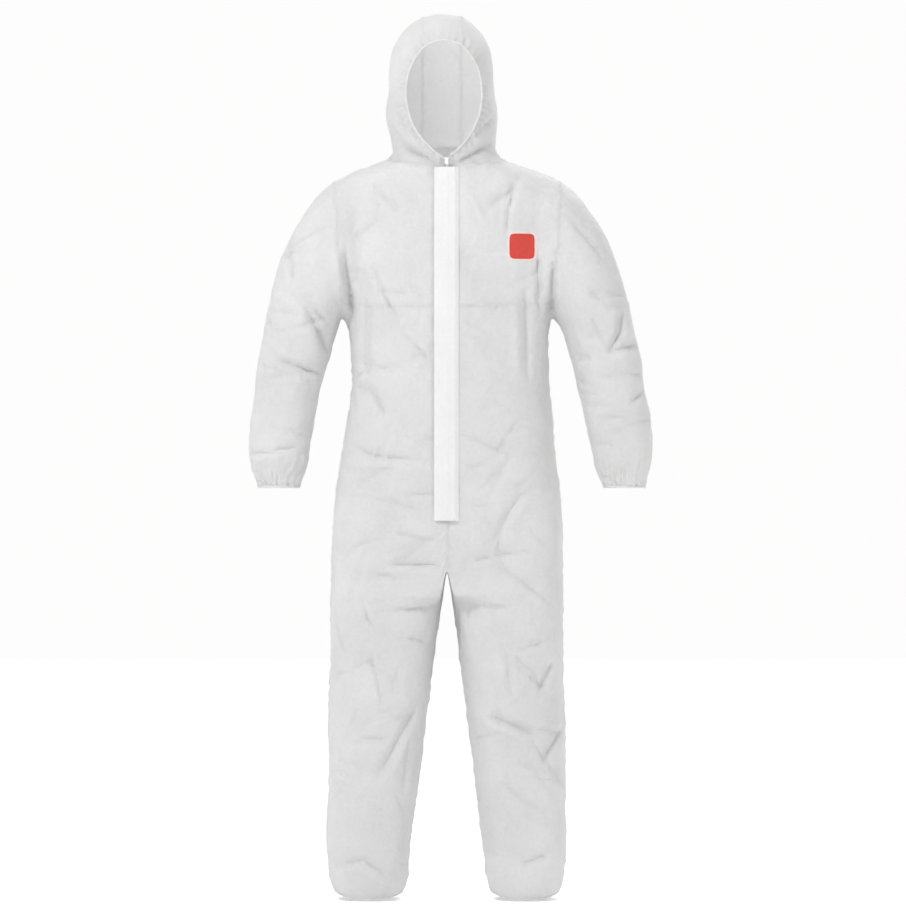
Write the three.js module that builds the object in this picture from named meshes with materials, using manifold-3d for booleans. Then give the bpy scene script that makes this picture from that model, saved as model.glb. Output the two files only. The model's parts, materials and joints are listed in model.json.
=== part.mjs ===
// A hooded protective coverall, open as it is worn: body, hood, sleeves, legs, zip and storm flap.
// Millimetres. +X is the wearer's left, -Y the front, +Z up, and Z 0 is the level of the leg hems.
import * as THREE from 'three';
import { mergeVertices } from 'three/addons/utils/BufferGeometryUtils.js';
import Module from 'manifold-3d';

const wasm = await Module();
wasm.setup();

// ---------------------------------------------------------------- driving dimensions

const INSEAM = 655;            // hem to crotch
const RISE = 825;              // crotch to the side of the neck seam
const HOOD_HEIGHT = 285;       // side of the neck seam to the crown
const BODY_HALF_WIDTH = 224;   // at the hips
const BODY_BACK = 125;         // depth of the back behind the side seams
const HOOD_HALF_WIDTH = 111;
const HOOD_DEPTH = 124;        // depth of the hood behind its middle
const HOOD_FRONT = 112;        // and in front of it
const SLEEVE_DROP = 617;       // top of the shoulder to the cuff
const SLEEVE_DEPTH = 108;      // half the depth of a sleeve at the armhole

const WALL = 2.4;              // fabric and the air that its crumples hold
const SEAM_GAP = 0.3;          // between two panels that are sewn to each other
const CLEAR = 0.4;             // between a panel and what is sewn inside it

const NECK_Z = INSEAM + RISE;
const NECK_SLOPE = 0.22;       // the neck seam drops towards the front
const UNDERARM_X = BODY_HALF_WIDTH - 23;
const UNDERARM_Z = NECK_Z - 300;
const SHOULDER_X = BODY_HALF_WIDTH + 2; // top of the armhole
const SHOULDER_Z = NECK_Z - 44;
const LEG_SEAM_RISE = 145;     // from the crotch up to the hip
const CHEST_SEAM_Z = NECK_Z - 298;

const ZIP_TOP_Z = NECK_Z - 25;
const ZIP_TOP_Y = -0.875 * HOOD_FRONT;
const ZIP_DROP = 702;          // height of the storm flap
const ZIP_LEAN = 24;           // how far the front comes forward over that height
const ZIP_ABOVE = 20;          // the zip runs on above the neck seam, to the chin
const ZIP_OPENING = 10;        // between the two front edges
const TAPE_DEPTH = 3.2;        // the tape's face behind the outer face of the fabric
const TAPE_THICK = 0.8;
const TAPE_WIDTH = 13;
const TEETH_THICK = 2;
const TEETH_WIDTH = 1.8;
const TEETH_GAP = 1.2;         // between the two rows, for the slider's web
const TEETH_FOOT = 8;          // the rows end this far above the foot of the zip
const STOP_FOOT = 3;

const SLIDER_LENGTH = 13;
const SLIDER_WIDTH = ZIP_OPENING - 1;
const SLIDER_PLATE = 1.2;
const SLIDER_WEB = 0.5;
const SLIDER_Z = 12.5;         // the slider's middle above the neck seam, with the zip closed
const PULL_LENGTH = 16;
const PULL_WIDTH = 5.6;
const PULL_THICK = 1.2;
const PIN_RADIUS = 0.45;
const PIN_HOLE = 0.75;
const PIN_ROOM = 1;            // between the slider's face and the pull's knuckle
const PIN_BELOW_END = 2;
const KNUCKLE_WALL = 0.5;
const EAR_THICK = 0.9;
const EAR_HALF_HEIGHT = 1.6;
const JOIN = 0.5;              // how far the slider's parts run into each other
const CORD_HOLE = 1.3;

const FLAP_LEFT = 22;          // the sewn edge
const FLAP_RIGHT = -25;        // the free edge
const FLAP_THICK = 1.6;
const FLAP_CORNER = 5;

const FACE_TOP_Z = NECK_Z + 227;
const FACE_MIDDLE_Z = NECK_Z + 124;
const FACE_CHIN_Z = NECK_Z - 9;
const FACE_HALF_WIDTH = HOOD_HALF_WIDTH - 36;
const HOOD_CENTRE_WIDTH = 80;  // the strip over the crown
const ELASTIC_THICK = 1.2;
const ELASTIC_WIDTH = 8;
const ELASTIC_ABOVE_HEM = 4;
const ELASTIC_BEHIND_FACE = 1;
const ELASTIC_ABOVE_CHIN = 12;
const WAIST_Z = NECK_Z - 452;
const WAIST_ELASTIC_WIDTH = 22;
const PATCH_SIZE = 56;
const PATCH_CORNER = 9;
const PATCH_X = 149;
const PATCH_Z = NECK_Z - 182;
const PATCH_THICK = 0.8;
const LABEL_WIDTH = 34;
const LABEL_HEIGHT = 44;
const LABEL_THICK = 0.6;
const LABEL_BELOW_NECK = 12;

const FAR = 3000;              // past every edge of the suit
const RIGHT = -1;              // the wearer's right is -X
const LEFT = 1;

// ---------------------------------------------------------------- solids

// The geometry as a solid that can be cut. Only positions count, so shared corners merge.
function solid(geometry) {
  const bare = geometry.index ? geometry.toNonIndexed() : geometry.clone();
  bare.deleteAttribute('normal');
  bare.deleteAttribute('uv');
  const merged = mergeVertices(bare, 1e-4);
  return new wasm.Manifold(new wasm.Mesh({
    numProp: 3,
    vertProperties: new Float32Array(merged.attributes.position.array),
    triVerts: new Uint32Array(merged.index.array),
  }));
}

// A box given by its two corners.
function box(low, high) {
  const size = high.map((value, i) => value - low[i]);
  const middle = high.map((value, i) => (value + low[i]) / 2);
  return solid(new THREE.BoxGeometry(...size).translate(...middle));
}

// Everything more than half a seam gap past a plane, on the side its normal points to.
function beyond(point, normal) {
  const direction = new THREE.Vector3(...normal).normalize();
  const middle = new THREE.Vector3(...point).addScaledVector(direction, FAR + SEAM_GAP / 2);
  const turn = new THREE.Quaternion().setFromUnitVectors(new THREE.Vector3(0, 0, 1), direction);
  const cutter = new THREE.BoxGeometry(2 * FAR, 2 * FAR, 2 * FAR);
  return solid(cutter.applyQuaternion(turn).translate(middle.x, middle.y, middle.z));
}

// A shape drawn in X and Z, as a block through the whole depth or between two depths.
function throughDepth(shape, front = -FAR, back = FAR) {
  const depth = back - front;
  const block = new THREE.ExtrudeGeometry(shape, { depth, bevelEnabled: false, curveSegments: 12 });
  return solid(block.rotateX(Math.PI / 2).translate(0, back, 0));
}

// Stations along a garment tube, eased into more of them by a curve through the ones given.
function ease(stations, steps) {
  const place = new THREE.CatmullRomCurve3(
    stations.map((s) => new THREE.Vector3(s.z, s.x, s.wide)), false, 'catmullrom');
  const depth = new THREE.CatmullRomCurve3(
    stations.map((s) => new THREE.Vector3(s.front, s.back, s.square)), false, 'catmullrom');
  return Array.from({ length: steps + 1 }, (_, i) => {
    const a = place.getPoint(i / steps);
    const b = depth.getPoint(i / steps);
    return { z: a.x, x: a.y, wide: a.z, front: b.x, back: b.y, square: b.z };
  });
}

// The same stations a given depth inside the surface, or outside it where the depth is negative.
function inside(stations, depth) {
  return stations.map((s) => ({
    ...s,
    z: s.z - depth,
    wide: Math.max(s.wide - depth, 0.5),
    front: Math.min(s.front + depth, -0.5),
    back: Math.max(s.back - depth, 0.5),
  }));
}

// A capped solid through level rings. A ring is an oval, squarer where its station says so.
function loft(stations, sides) {
  const last = stations.length - 1;
  const profile = [
    new THREE.Vector2(0, 0),
    ...stations.map((_, i) => new THREE.Vector2(1, i)),
    new THREE.Vector2(0, last),
  ];
  const geometry = new THREE.LatheGeometry(profile, sides);
  const points = geometry.attributes.position;
  for (let i = 0; i < points.count; i++) {
    const s = stations[Math.round(points.getY(i))];
    const across = points.getX(i);
    const along = points.getZ(i);
    const power = 2 / s.square;
    const x = Math.sign(across) * Math.abs(across) ** power * s.wide;
    const depth = along > 0 ? -s.front : s.back;
    const y = -Math.sign(along) * Math.abs(along) ** power * depth;
    points.setXYZ(i, s.x + (Math.abs(across) < 1e-9 ? 0 : x), Math.abs(along) < 1e-9 ? 0 : y, s.z);
  }
  return solid(geometry);
}

// A fabric wall between two depths inside a tube's surface.
function wall(stations, sides, outer, inner) {
  return loft(inside(stations, outer), sides).subtract(loft(inside(stations, inner), sides));
}

// ---------------------------------------------------------------- garment tubes

// How far forward the straight front edge lies at a height.
function frontAt(z) {
  return ZIP_TOP_Y - (ZIP_TOP_Z - z) * ZIP_LEAN / ZIP_DROP;
}

// The body, from below the crotch to above the neck seam.
function bodyStations() {
  const [hip, back] = [BODY_HALF_WIDTH, BODY_BACK];
  const rows = [
    { up: -0.10, wide: 1.01 * hip, back: 0.98 * back, square: 3.2 },
    { up: 0.05, wide: 1.0 * hip, back: 1.0 * back, square: 3.0 },
    { up: 0.18, wide: 0.985 * hip, back: 1.0 * back, square: 2.7 },
    { up: 0.32, wide: 0.925 * hip, back: 0.94 * back, square: 2.5 },
    { up: 0.45, wide: 0.885 * hip, back: 0.9 * back, square: 2.4 },
    { up: 0.60, wide: 0.88 * hip, back: 1.0 * back, square: 2.4 },
    { up: 0.72, wide: 0.96 * hip, back: 1.06 * back, square: 2.4 },
    { up: 0.84, wide: 1.1 * hip, back: 1.04 * back, square: 2.4 },
    { up: 0.91, wide: 1.17 * hip, back: 0.98 * back, square: 2.3 },
    { up: 0.95, wide: 0.99 * hip, back: 0.92 * back, square: 2.2 },
    { up: 0.975, wide: 0.7 * hip, back: 0.89 * back, square: 2.2 },
    { up: 1.0, wide: 0.945 * HOOD_HALF_WIDTH, back: 0.867 * HOOD_DEPTH, square: 2.2 },
    { up: 1.05, wide: 0.89 * HOOD_HALF_WIDTH, back: 0.847 * HOOD_DEPTH, square: 2.2 },
  ];
  return rows.map(({ up, wide, back: depth, square }) => {
    const z = INSEAM + up * RISE;
    return { z, x: 0, wide, front: frontAt(z), back: depth, square };
  });
}

// The hood, from below the neck seam to the crown.
function hoodStations() {
  const rows = [
    { up: -0.16, wide: 0.9, front: 0.88, back: 0.84 },
    { up: 0.0, wide: 0.935, front: 0.89, back: 0.855 },
    { up: 0.18, wide: 0.965, front: 0.96, back: 0.93 },
    { up: 0.42, wide: 1.0, front: 1.0, back: 1.0 },
    { up: 0.63, wide: 0.965, front: 0.97, back: 1.0 },
    { up: 0.79, wide: 0.865, front: 0.84, back: 0.9 },
    { up: 0.91, wide: 0.65, front: 0.6, back: 0.66 },
    { up: 0.975, wide: 0.38, front: 0.34, back: 0.38 },
    { up: 1.0, wide: 0.06, front: 0.05, back: 0.06 },
  ];
  return rows.map(({ up, wide, front, back }) => ({
    z: NECK_Z + up * HOOD_HEIGHT,
    x: 0,
    wide: wide * HOOD_HALF_WIDTH,
    front: -front * HOOD_FRONT,
    back: back * HOOD_DEPTH,
    square: 2.15,
  }));
}

// A sleeve, from the cuff up into the shoulder. The armhole plane trims what reaches into the body.
// Its near and far edges are given from the side of the hips, so that it stays beside the body.
function sleeveStations(side) {
  const rows = [
    { down: 1.0, near: 78, far: 162, front: -0.34, back: 0.32 },
    { down: 0.965, near: 70, far: 170, front: -0.39, back: 0.37 },
    { down: 0.92, near: 61, far: 179, front: -0.48, back: 0.44 },
    { down: 0.82, near: 47, far: 176, front: -0.54, back: 0.52 },
    { down: 0.69, near: 30, far: 165, front: -0.61, back: 0.62 },
    { down: 0.51, near: 2, far: 147, front: -0.7, back: 0.76 },
    { down: 0.42, near: -16, far: 132, front: -0.78, back: 0.9 },
    { down: 0.3, near: -54, far: 113, front: -0.87, back: 1.0 },
    { down: 0.18, near: -74, far: 82, front: -0.87, back: 1.0 },
    { down: 0.07, near: -74, far: 44, front: -0.76, back: 0.86 },
    { down: 0.02, near: -74, far: 16, front: -0.56, back: 0.66 },
    { down: 0.0, near: -74, far: 2, front: -0.4, back: 0.5 },
  ];
  return rows.map(({ down, near, far, front, back }) => ({
    z: SHOULDER_Z - down * SLEEVE_DROP,
    x: side * (BODY_HALF_WIDTH + (near + far) / 2),
    wide: (far - near) / 2,
    front: front * SLEEVE_DEPTH,
    back: back * SLEEVE_DEPTH,
    square: 2.2,
  }));
}

// A leg, from the hem up into the hip. The leg seam plane trims what reaches into the body.
// Its depths follow the body's own front and back at the crotch, so that the seam meets all round.
function legStations(side) {
  const hip = 1.03 * BODY_HALF_WIDTH;
  const frontDepth = -0.957 * frontAt(INSEAM);
  const backDepth = 0.96 * BODY_BACK;
  const rows = [
    { up: 0.0, near: 0.39, far: 1.0, front: -0.7, back: 0.74, square: 2.5 },
    { up: 0.04, near: 0.355, far: 1.02, front: -0.72, back: 0.76, square: 2.5 },
    { up: 0.15, near: 0.32, far: 1.02, front: -0.74, back: 0.77, square: 2.5 },
    { up: 0.32, near: 0.26, far: 1.015, front: -0.76, back: 0.78, square: 2.5 },
    { up: 0.55, near: 0.18, far: 1.01, front: -0.82, back: 0.83, square: 2.5 },
    { up: 0.78, near: 0.09, far: 1.005, front: -0.9, back: 0.92, square: 2.8 },
    { up: 0.9, near: 0.045, far: 1.0, front: -0.96, back: 0.98, square: 3.4 },
    { up: 1.0, near: 0.014, far: 0.985, front: -1.03, back: 1.03, square: 4.2 },
    { up: 1.1, near: 0.014, far: 0.978, front: -1.025, back: 1.04, square: 4.2 },
    { up: 1.26, near: 0.014, far: 0.97, front: -1.01, back: 1.04, square: 3.8 },
  ];
  return rows.map(({ up, near, far, front, back, square }) => ({
    z: up * INSEAM,
    x: side * (near + far) * hip / 2,
    wide: (far - near) * hip / 2,
    front: front * frontDepth,
    back: back * backDepth,
    square,
  }));
}

const BODY_SIDES = 32;
const HOOD_SIDES = 28;
const SLEEVE_SIDES = 20;
const LEG_SIDES = 24;
const body = ease(bodyStations(), 14);
const hood = ease(hoodStations(), 11);
const sleeve = { [RIGHT]: ease(sleeveStations(RIGHT), 11), [LEFT]: ease(sleeveStations(LEFT), 11) };
const leg = { [RIGHT]: ease(legStations(RIGHT), 8), [LEFT]: ease(legStations(LEFT), 8) };

// ---------------------------------------------------------------- seam planes

const aboveNeck = beyond([0, 0, NECK_Z], [0, -NECK_SLOPE, 1]);
const belowNeck = beyond([0, 0, NECK_Z], [0, NECK_SLOPE, -1]);
const inFront = beyond([0, 0, 0], [0, -1, 0]);
const behind = beyond([0, 0, 0], [0, 1, 0]);
const half = { [RIGHT]: beyond([0, 0, 0], [-1, 0, 0]), [LEFT]: beyond([0, 0, 0], [1, 0, 0]) };
const zipSlot = box([-ZIP_OPENING / 2, -FAR, -FAR], [ZIP_OPENING / 2, 0, FAR]);

// Outside the armhole, which leans from the underarm out to the top of the shoulder.
function pastArmhole(side, outward) {
  const [dx, dz] = [SHOULDER_X - UNDERARM_X, SHOULDER_Z - UNDERARM_Z];
  return beyond([side * UNDERARM_X, 0, UNDERARM_Z], [side * outward * dz, 0, -outward * dx]);
}

// Below the leg seam, which climbs from the crotch out to the hip.
function pastLegSeam(side, downward) {
  return beyond([0, 0, INSEAM], [side * downward * LEG_SEAM_RISE, 0, -downward * BODY_HALF_WIDTH]);
}

// ---------------------------------------------------------------- body panels

function bodyShell() {
  let shell = wall(body, BODY_SIDES, 0, WALL).intersect(belowNeck);
  const aboveUnderarm = beyond([0, 0, UNDERARM_Z - SEAM_GAP], [0, 0, 1]);
  for (const side of [RIGHT, LEFT]) {
    shell = shell.subtract(pastArmhole(side, 1).intersect(aboveUnderarm));
    shell = shell.intersect(pastLegSeam(side, -1));
  }
  return shell;
}

const shell = bodyShell();
const aboveChestSeam = beyond([0, 0, CHEST_SEAM_Z], [0, 0, 1]);
const belowChestSeam = beyond([0, 0, CHEST_SEAM_Z], [0, 0, -1]);

function upperFront(side) {
  return shell.intersect(inFront).intersect(half[side]).intersect(aboveChestSeam).subtract(zipSlot);
}

// The front edges are sewn together below the zip, so only the stretch beside it is open.
function lowerFront(side) {
  const beside = box([-ZIP_OPENING / 2, -FAR, ZIP_TOP_Z - ZIP_DROP], [ZIP_OPENING / 2, 0, FAR]);
  return shell.intersect(inFront).intersect(half[side]).intersect(belowChestSeam).subtract(beside);
}

function backPanel(side) {
  return shell.intersect(behind).intersect(half[side]);
}

// The elastic that draws the back in at the waist, sewn inside it.
function waistElastic() {
  const band = wall(body, BODY_SIDES, WALL + CLEAR, WALL + CLEAR + ELASTIC_THICK);
  const reach = 0.8 * BODY_HALF_WIDTH;
  const low = WAIST_Z - WAIST_ELASTIC_WIDTH / 2;
  return band.intersect(box([-reach, 1, low], [reach, FAR, low + WAIST_ELASTIC_WIDTH]));
}

// A plain square patch with round corners, on the wearer's left breast.
function roundedSquare(x, z, size, corner) {
  const [low, high] = [-size / 2, size / 2];
  const shape = new THREE.Shape();
  shape.moveTo(low + corner, low);
  shape.lineTo(high - corner, low);
  shape.absarc(high - corner, low + corner, corner, -Math.PI / 2, 0);
  shape.absarc(high - corner, high - corner, corner, 0, Math.PI / 2);
  shape.absarc(low + corner, high - corner, corner, Math.PI / 2, Math.PI);
  shape.absarc(low + corner, low + corner, corner, Math.PI, 1.5 * Math.PI);
  const points = shape.getPoints(6).map((p) => new THREE.Vector2(p.x + x, p.y + z));
  return new THREE.Shape(points);
}

function chestPatch() {
  const skin = wall(body, BODY_SIDES, -CLEAR - PATCH_THICK, -CLEAR);
  return skin.intersect(throughDepth(roundedSquare(PATCH_X, PATCH_Z, PATCH_SIZE, PATCH_CORNER), -FAR, 0));
}

// The size label hangs inside the back of the neck, and carries no words here.
function sizeLabel() {
  const skin = wall(body, BODY_SIDES, WALL + CLEAR, WALL + CLEAR + LABEL_THICK);
  const top = NECK_Z - LABEL_BELOW_NECK;
  return skin.intersect(box([-LABEL_WIDTH / 2, 1, top - LABEL_HEIGHT], [LABEL_WIDTH / 2, FAR, top]));
}

// ---------------------------------------------------------------- hood

// The face opening's outline, grown by a margin: round above, drawn in to a V at the chin.
function faceOutline(margin) {
  const wide = FACE_HALF_WIDTH + margin;
  const chin = FACE_CHIN_Z - margin;
  const rise = FACE_MIDDLE_Z - chin;
  const shape = new THREE.Shape();
  shape.moveTo(0, chin);
  shape.bezierCurveTo(0.83 * wide, chin + 0.31 * rise, wide, chin + 0.67 * rise, wide, FACE_MIDDLE_Z);
  shape.absellipse(0, FACE_MIDDLE_Z, wide, FACE_TOP_Z - FACE_MIDDLE_Z + margin, 0, Math.PI);
  shape.bezierCurveTo(-wide, chin + 0.67 * rise, -0.83 * wide, chin + 0.31 * rise, 0, chin);
  return shape;
}

// The crown strip runs from the top of the face over the crown and down to the back of the neck.
function crownStrip(grow) {
  const reach = HOOD_CENTRE_WIDTH / 2 + grow;
  const strip = box([-reach, -FAR, 0], [reach, FAR, FAR]);
  return strip.subtract(box([-FAR, -FAR, 0], [FAR, -grow, FACE_MIDDLE_Z]));
}

function hoodShell() {
  const opening = throughDepth(faceOutline(0), -FAR, 0);
  return wall(hood, HOOD_SIDES, 0, WALL).intersect(aboveNeck).subtract(opening);
}

const hoodWall = hoodShell();

function hoodCentre() {
  return hoodWall.intersect(crownStrip(-SEAM_GAP / 2));
}

function hoodSide(side) {
  return hoodWall.subtract(crownStrip(SEAM_GAP / 2)).subtract(zipSlot).intersect(half[side]);
}

// The elastic that gathers the edge of the face opening, sewn inside the hood.
function faceElastic() {
  const band = wall(hood, HOOD_SIDES, WALL + CLEAR, WALL + CLEAR + ELASTIC_THICK);
  const ring = throughDepth(faceOutline(ELASTIC_WIDTH + ELASTIC_BEHIND_FACE), -FAR, 0)
    .subtract(throughDepth(faceOutline(ELASTIC_BEHIND_FACE), -FAR, 0));
  return band.intersect(ring).intersect(box([-FAR, -FAR, FACE_CHIN_Z + ELASTIC_ABOVE_CHIN], [FAR, 0, FAR]));
}

// ---------------------------------------------------------------- sleeves and legs

function sleevePanel(side) {
  return wall(sleeve[side], SLEEVE_SIDES, 0, WALL).intersect(pastArmhole(side, 1));
}

// The elastic inside a cuff or an ankle hem, just above its edge.
function hemElastic(stations, sides, edge) {
  const band = wall(stations, sides, WALL + CLEAR, WALL + CLEAR + ELASTIC_THICK);
  const low = edge + ELASTIC_ABOVE_HEM;
  return band.intersect(box([-FAR, -FAR, low], [FAR, FAR, low + ELASTIC_WIDTH]));
}

function legPanel(side, where) {
  return wall(leg[side], LEG_SIDES, 0, WALL).intersect(pastLegSeam(side, 1)).intersect(where);
}

// ---------------------------------------------------------------- zip, slider and flap
// These are drawn in the zip's own frame: origin on the front edge at the neck seam, Z up along it,
// and -Y out of the fabric.

function zipTape(side) {
  const near = side * TEETH_GAP / 2;
  const far = side * (TEETH_GAP / 2 + TAPE_WIDTH);
  const [low, high] = [Math.min(near, far), Math.max(near, far)];
  return box([low, TAPE_DEPTH, -ZIP_DROP], [high, TAPE_DEPTH + TAPE_THICK, ZIP_ABOVE]);
}

function zipTeeth(side) {
  const near = side * TEETH_GAP / 2;
  const far = side * (TEETH_GAP / 2 + TEETH_WIDTH);
  const back = TAPE_DEPTH - SEAM_GAP;
  const [low, high] = [Math.min(near, far), Math.max(near, far)];
  return box([low, back - TEETH_THICK, -ZIP_DROP + TEETH_FOOT], [high, back, ZIP_ABOVE]);
}

// The stop across both rows at the foot of the zip.
function bottomStop() {
  const back = TAPE_DEPTH - SEAM_GAP;
  const reach = TEETH_GAP / 2 + TEETH_WIDTH;
  const top = -ZIP_DROP + TEETH_FOOT - SEAM_GAP;
  return box([-reach, back - TEETH_THICK, -ZIP_DROP + STOP_FOOT], [reach, back, top]);
}

function sliderBody() {
  const half = SLIDER_WIDTH / 2;
  const [low, high] = [SLIDER_Z - SLIDER_LENGTH / 2, SLIDER_Z + SLIDER_LENGTH / 2];
  const teethFace = TAPE_DEPTH - SEAM_GAP - TEETH_THICK;
  const plateBack = teethFace - CLEAR;
  const tapeBack = TAPE_DEPTH + TAPE_THICK + CLEAR;
  let made = box([-half, plateBack - SLIDER_PLATE, low], [half, plateBack, high]);
  made = made.add(box([-half, tapeBack, low], [half, tapeBack + SLIDER_PLATE, high]));
  made = made.add(box([-SLIDER_WEB / 2, plateBack - JOIN, low], [SLIDER_WEB / 2, tapeBack + JOIN, high]));
  const earInner = PULL_WIDTH / 2 + CLEAR;
  for (const side of [RIGHT, LEFT]) {
    const [a, b] = [side * earInner, side * (earInner + EAR_THICK)];
    const earFront = pinY() - PIN_HOLE;
    made = made.add(box(
      [Math.min(a, b), earFront, pinZ() - EAR_HALF_HEIGHT],
      [Math.max(a, b), plateBack - JOIN, pinZ() + EAR_HALF_HEIGHT]));
  }
  const pinLength = 2 * (earInner + JOIN);
  const pin = new THREE.CylinderGeometry(PIN_RADIUS, PIN_RADIUS, pinLength, 12).rotateZ(Math.PI / 2);
  return made.add(solid(pin.translate(0, pinY(), pinZ())));
}

// Where the pull's pin lies in the zip's frame.
function pinY() {
  const plateFace = TAPE_DEPTH - SEAM_GAP - TEETH_THICK - CLEAR - SLIDER_PLATE;
  return plateFace - PIN_HOLE - PIN_ROOM;
}

function pinZ() {
  return SLIDER_Z + SLIDER_LENGTH / 2 - PIN_BELOW_END;
}

// The pull is a flat tab with round ends, a hole for the pin and a hole for a cord. Origin at the pin.
function pullTab() {
  const end = PULL_WIDTH / 2;
  const shape = new THREE.Shape();
  shape.moveTo(-end, 0);
  shape.lineTo(-end, -PULL_LENGTH + end + PIN_HOLE);
  shape.absarc(0, -PULL_LENGTH + end + PIN_HOLE, end, Math.PI, 2 * Math.PI);
  shape.lineTo(end, 0);
  const hole = new THREE.Path().absarc(0, -PULL_LENGTH + end + PIN_HOLE, CORD_HOLE, 0, 2 * Math.PI);
  shape.holes.push(hole);
  const cut = { depth: PULL_THICK, bevelEnabled: false, curveSegments: 8 };
  const blade = new THREE.ExtrudeGeometry(shape, cut);
  blade.rotateX(Math.PI / 2).translate(0, PULL_THICK / 2, 0);
  const round = PIN_HOLE + KNUCKLE_WALL;
  const knuckle = new THREE.CylinderGeometry(round, round, PULL_WIDTH, 16).rotateZ(Math.PI / 2);
  const bore = new THREE.CylinderGeometry(PIN_HOLE, PIN_HOLE, 2 * PULL_WIDTH, 16).rotateZ(Math.PI / 2);
  return solid(blade).add(solid(knuckle)).subtract(solid(bore));
}

// The flap lies over the zip with room for the slider and its pull. Origin at its sewn edge.
function stormFlap() {
  const width = FLAP_LEFT - FLAP_RIGHT;
  const shape = new THREE.Shape();
  shape.moveTo(0, 0);
  shape.lineTo(-width + FLAP_CORNER, 0);
  shape.absarc(-width + FLAP_CORNER, -FLAP_CORNER, FLAP_CORNER, Math.PI / 2, Math.PI);
  shape.lineTo(-width, -ZIP_DROP + FLAP_CORNER);
  shape.absarc(-width + FLAP_CORNER, -ZIP_DROP + FLAP_CORNER, FLAP_CORNER, Math.PI, 1.5 * Math.PI);
  shape.lineTo(0, -ZIP_DROP);
  const flap = new THREE.ExtrudeGeometry(shape, { depth: FLAP_THICK, bevelEnabled: false, curveSegments: 6 });
  return solid(flap.rotateX(Math.PI / 2).translate(0, FLAP_THICK / 2, 0));
}

function flapY() {
  return pinY() - PIN_HOLE - KNUCKLE_WALL - CLEAR - FLAP_THICK / 2;
}

// ---------------------------------------------------------------- materials and assembly

const FABRIC = { color: 0xe9e9eb, roughness: 0.85, metalness: 0 };
const FLAP_FABRIC = { color: 0xf1f1f3, roughness: 0.85, metalness: 0 };
const ELASTIC = { color: 0xf4f4f2, roughness: 0.9, metalness: 0 };
const TAPE = { color: 0xeeeeec, roughness: 0.8, metalness: 0 };
const NYLON = { color: 0xf2f2f0, roughness: 0.45, metalness: 0 };
const ENAMEL = { color: 0xeeeeee, roughness: 0.35, metalness: 0.2 };
const PATCH = { color: 0xcc4a40, roughness: 0.6, metalness: 0 };
const LABEL = { color: 0xfafafa, roughness: 0.7, metalness: 0 };

// A cut solid as a named mesh with flat facets.
function part(name, made, finish) {
  const mesh = made.getMesh();
  const geometry = new THREE.BufferGeometry();
  geometry.setAttribute('position', new THREE.BufferAttribute(new Float32Array(mesh.vertProperties), 3));
  geometry.setIndex(new THREE.BufferAttribute(new Uint32Array(mesh.triVerts), 1));
  const flat = geometry.toNonIndexed();
  flat.computeVertexNormals();
  const result = new THREE.Mesh(flat, new THREE.MeshStandardMaterial(finish));
  result.name = name;
  return result;
}

const suit = new THREE.Group();
const zip = new THREE.Group();
zip.position.set(0, ZIP_TOP_Y, ZIP_TOP_Z);
zip.rotation.x = -Math.atan(ZIP_LEAN / ZIP_DROP);
suit.add(zip);

for (const [side, name] of [[RIGHT, 'right'], [LEFT, 'left']]) {
  suit.add(part(`upper_front_${name}`, upperFront(side), FABRIC));
  suit.add(part(`lower_front_${name}`, lowerFront(side), FABRIC));
  suit.add(part(`back_${name}`, backPanel(side), FABRIC));
  suit.add(part(`hood_${name}_panel`, hoodSide(side), FABRIC));
  suit.add(part(`sleeve_${name}_panel`, sleevePanel(side), FABRIC));
  suit.add(part(
    `cuff_${name}_elastic`, hemElastic(sleeve[side], SLEEVE_SIDES, SHOULDER_Z - SLEEVE_DROP), ELASTIC));
  suit.add(part(`leg_${name}_front`, legPanel(side, inFront), FABRIC));
  suit.add(part(`leg_${name}_back`, legPanel(side, behind), FABRIC));
  suit.add(part(`ankle_${name}_elastic`, hemElastic(leg[side], LEG_SIDES, 0), ELASTIC));
  zip.add(part(`zip_tape_${name}`, zipTape(side), TAPE));
  zip.add(part(`zip_teeth_${name}`, zipTeeth(side), NYLON));
}
suit.add(part('hood_centre_panel', hoodCentre(), FABRIC));
suit.add(part('face_elastic', faceElastic(), ELASTIC));
suit.add(part('waist_elastic', waistElastic(), ELASTIC));
suit.add(part('chest_patch', chestPatch(), PATCH));
suit.add(part('size_label', sizeLabel(), LABEL));
zip.add(part('zip_bottom_stop', bottomStop(), NYLON));
zip.add(part('zip_slider', sliderBody(), ENAMEL));

const pull = part('zip_pull', pullTab(), ENAMEL);
pull.position.set(0, pinY(), pinZ());
zip.add(pull);

const flap = part('storm_flap', stormFlap(), FLAP_FABRIC);
flap.position.set(FLAP_LEFT, flapY(), 0);
zip.add(flap);

export default suit;
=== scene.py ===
"""A hooded protective coverall, filled as if worn: its fabric, zip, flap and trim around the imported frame.

Metres, +X the wearer's left, -Y the front, +Z up. Sizes come from the frame's own nodes where they can.
"""

import json
import math

import bmesh
import bpy
import numpy as np
from mathutils import Matrix, Vector, noise
from mathutils.bvhtree import BVHTree
from mathutils.kdtree import KDTree


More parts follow.
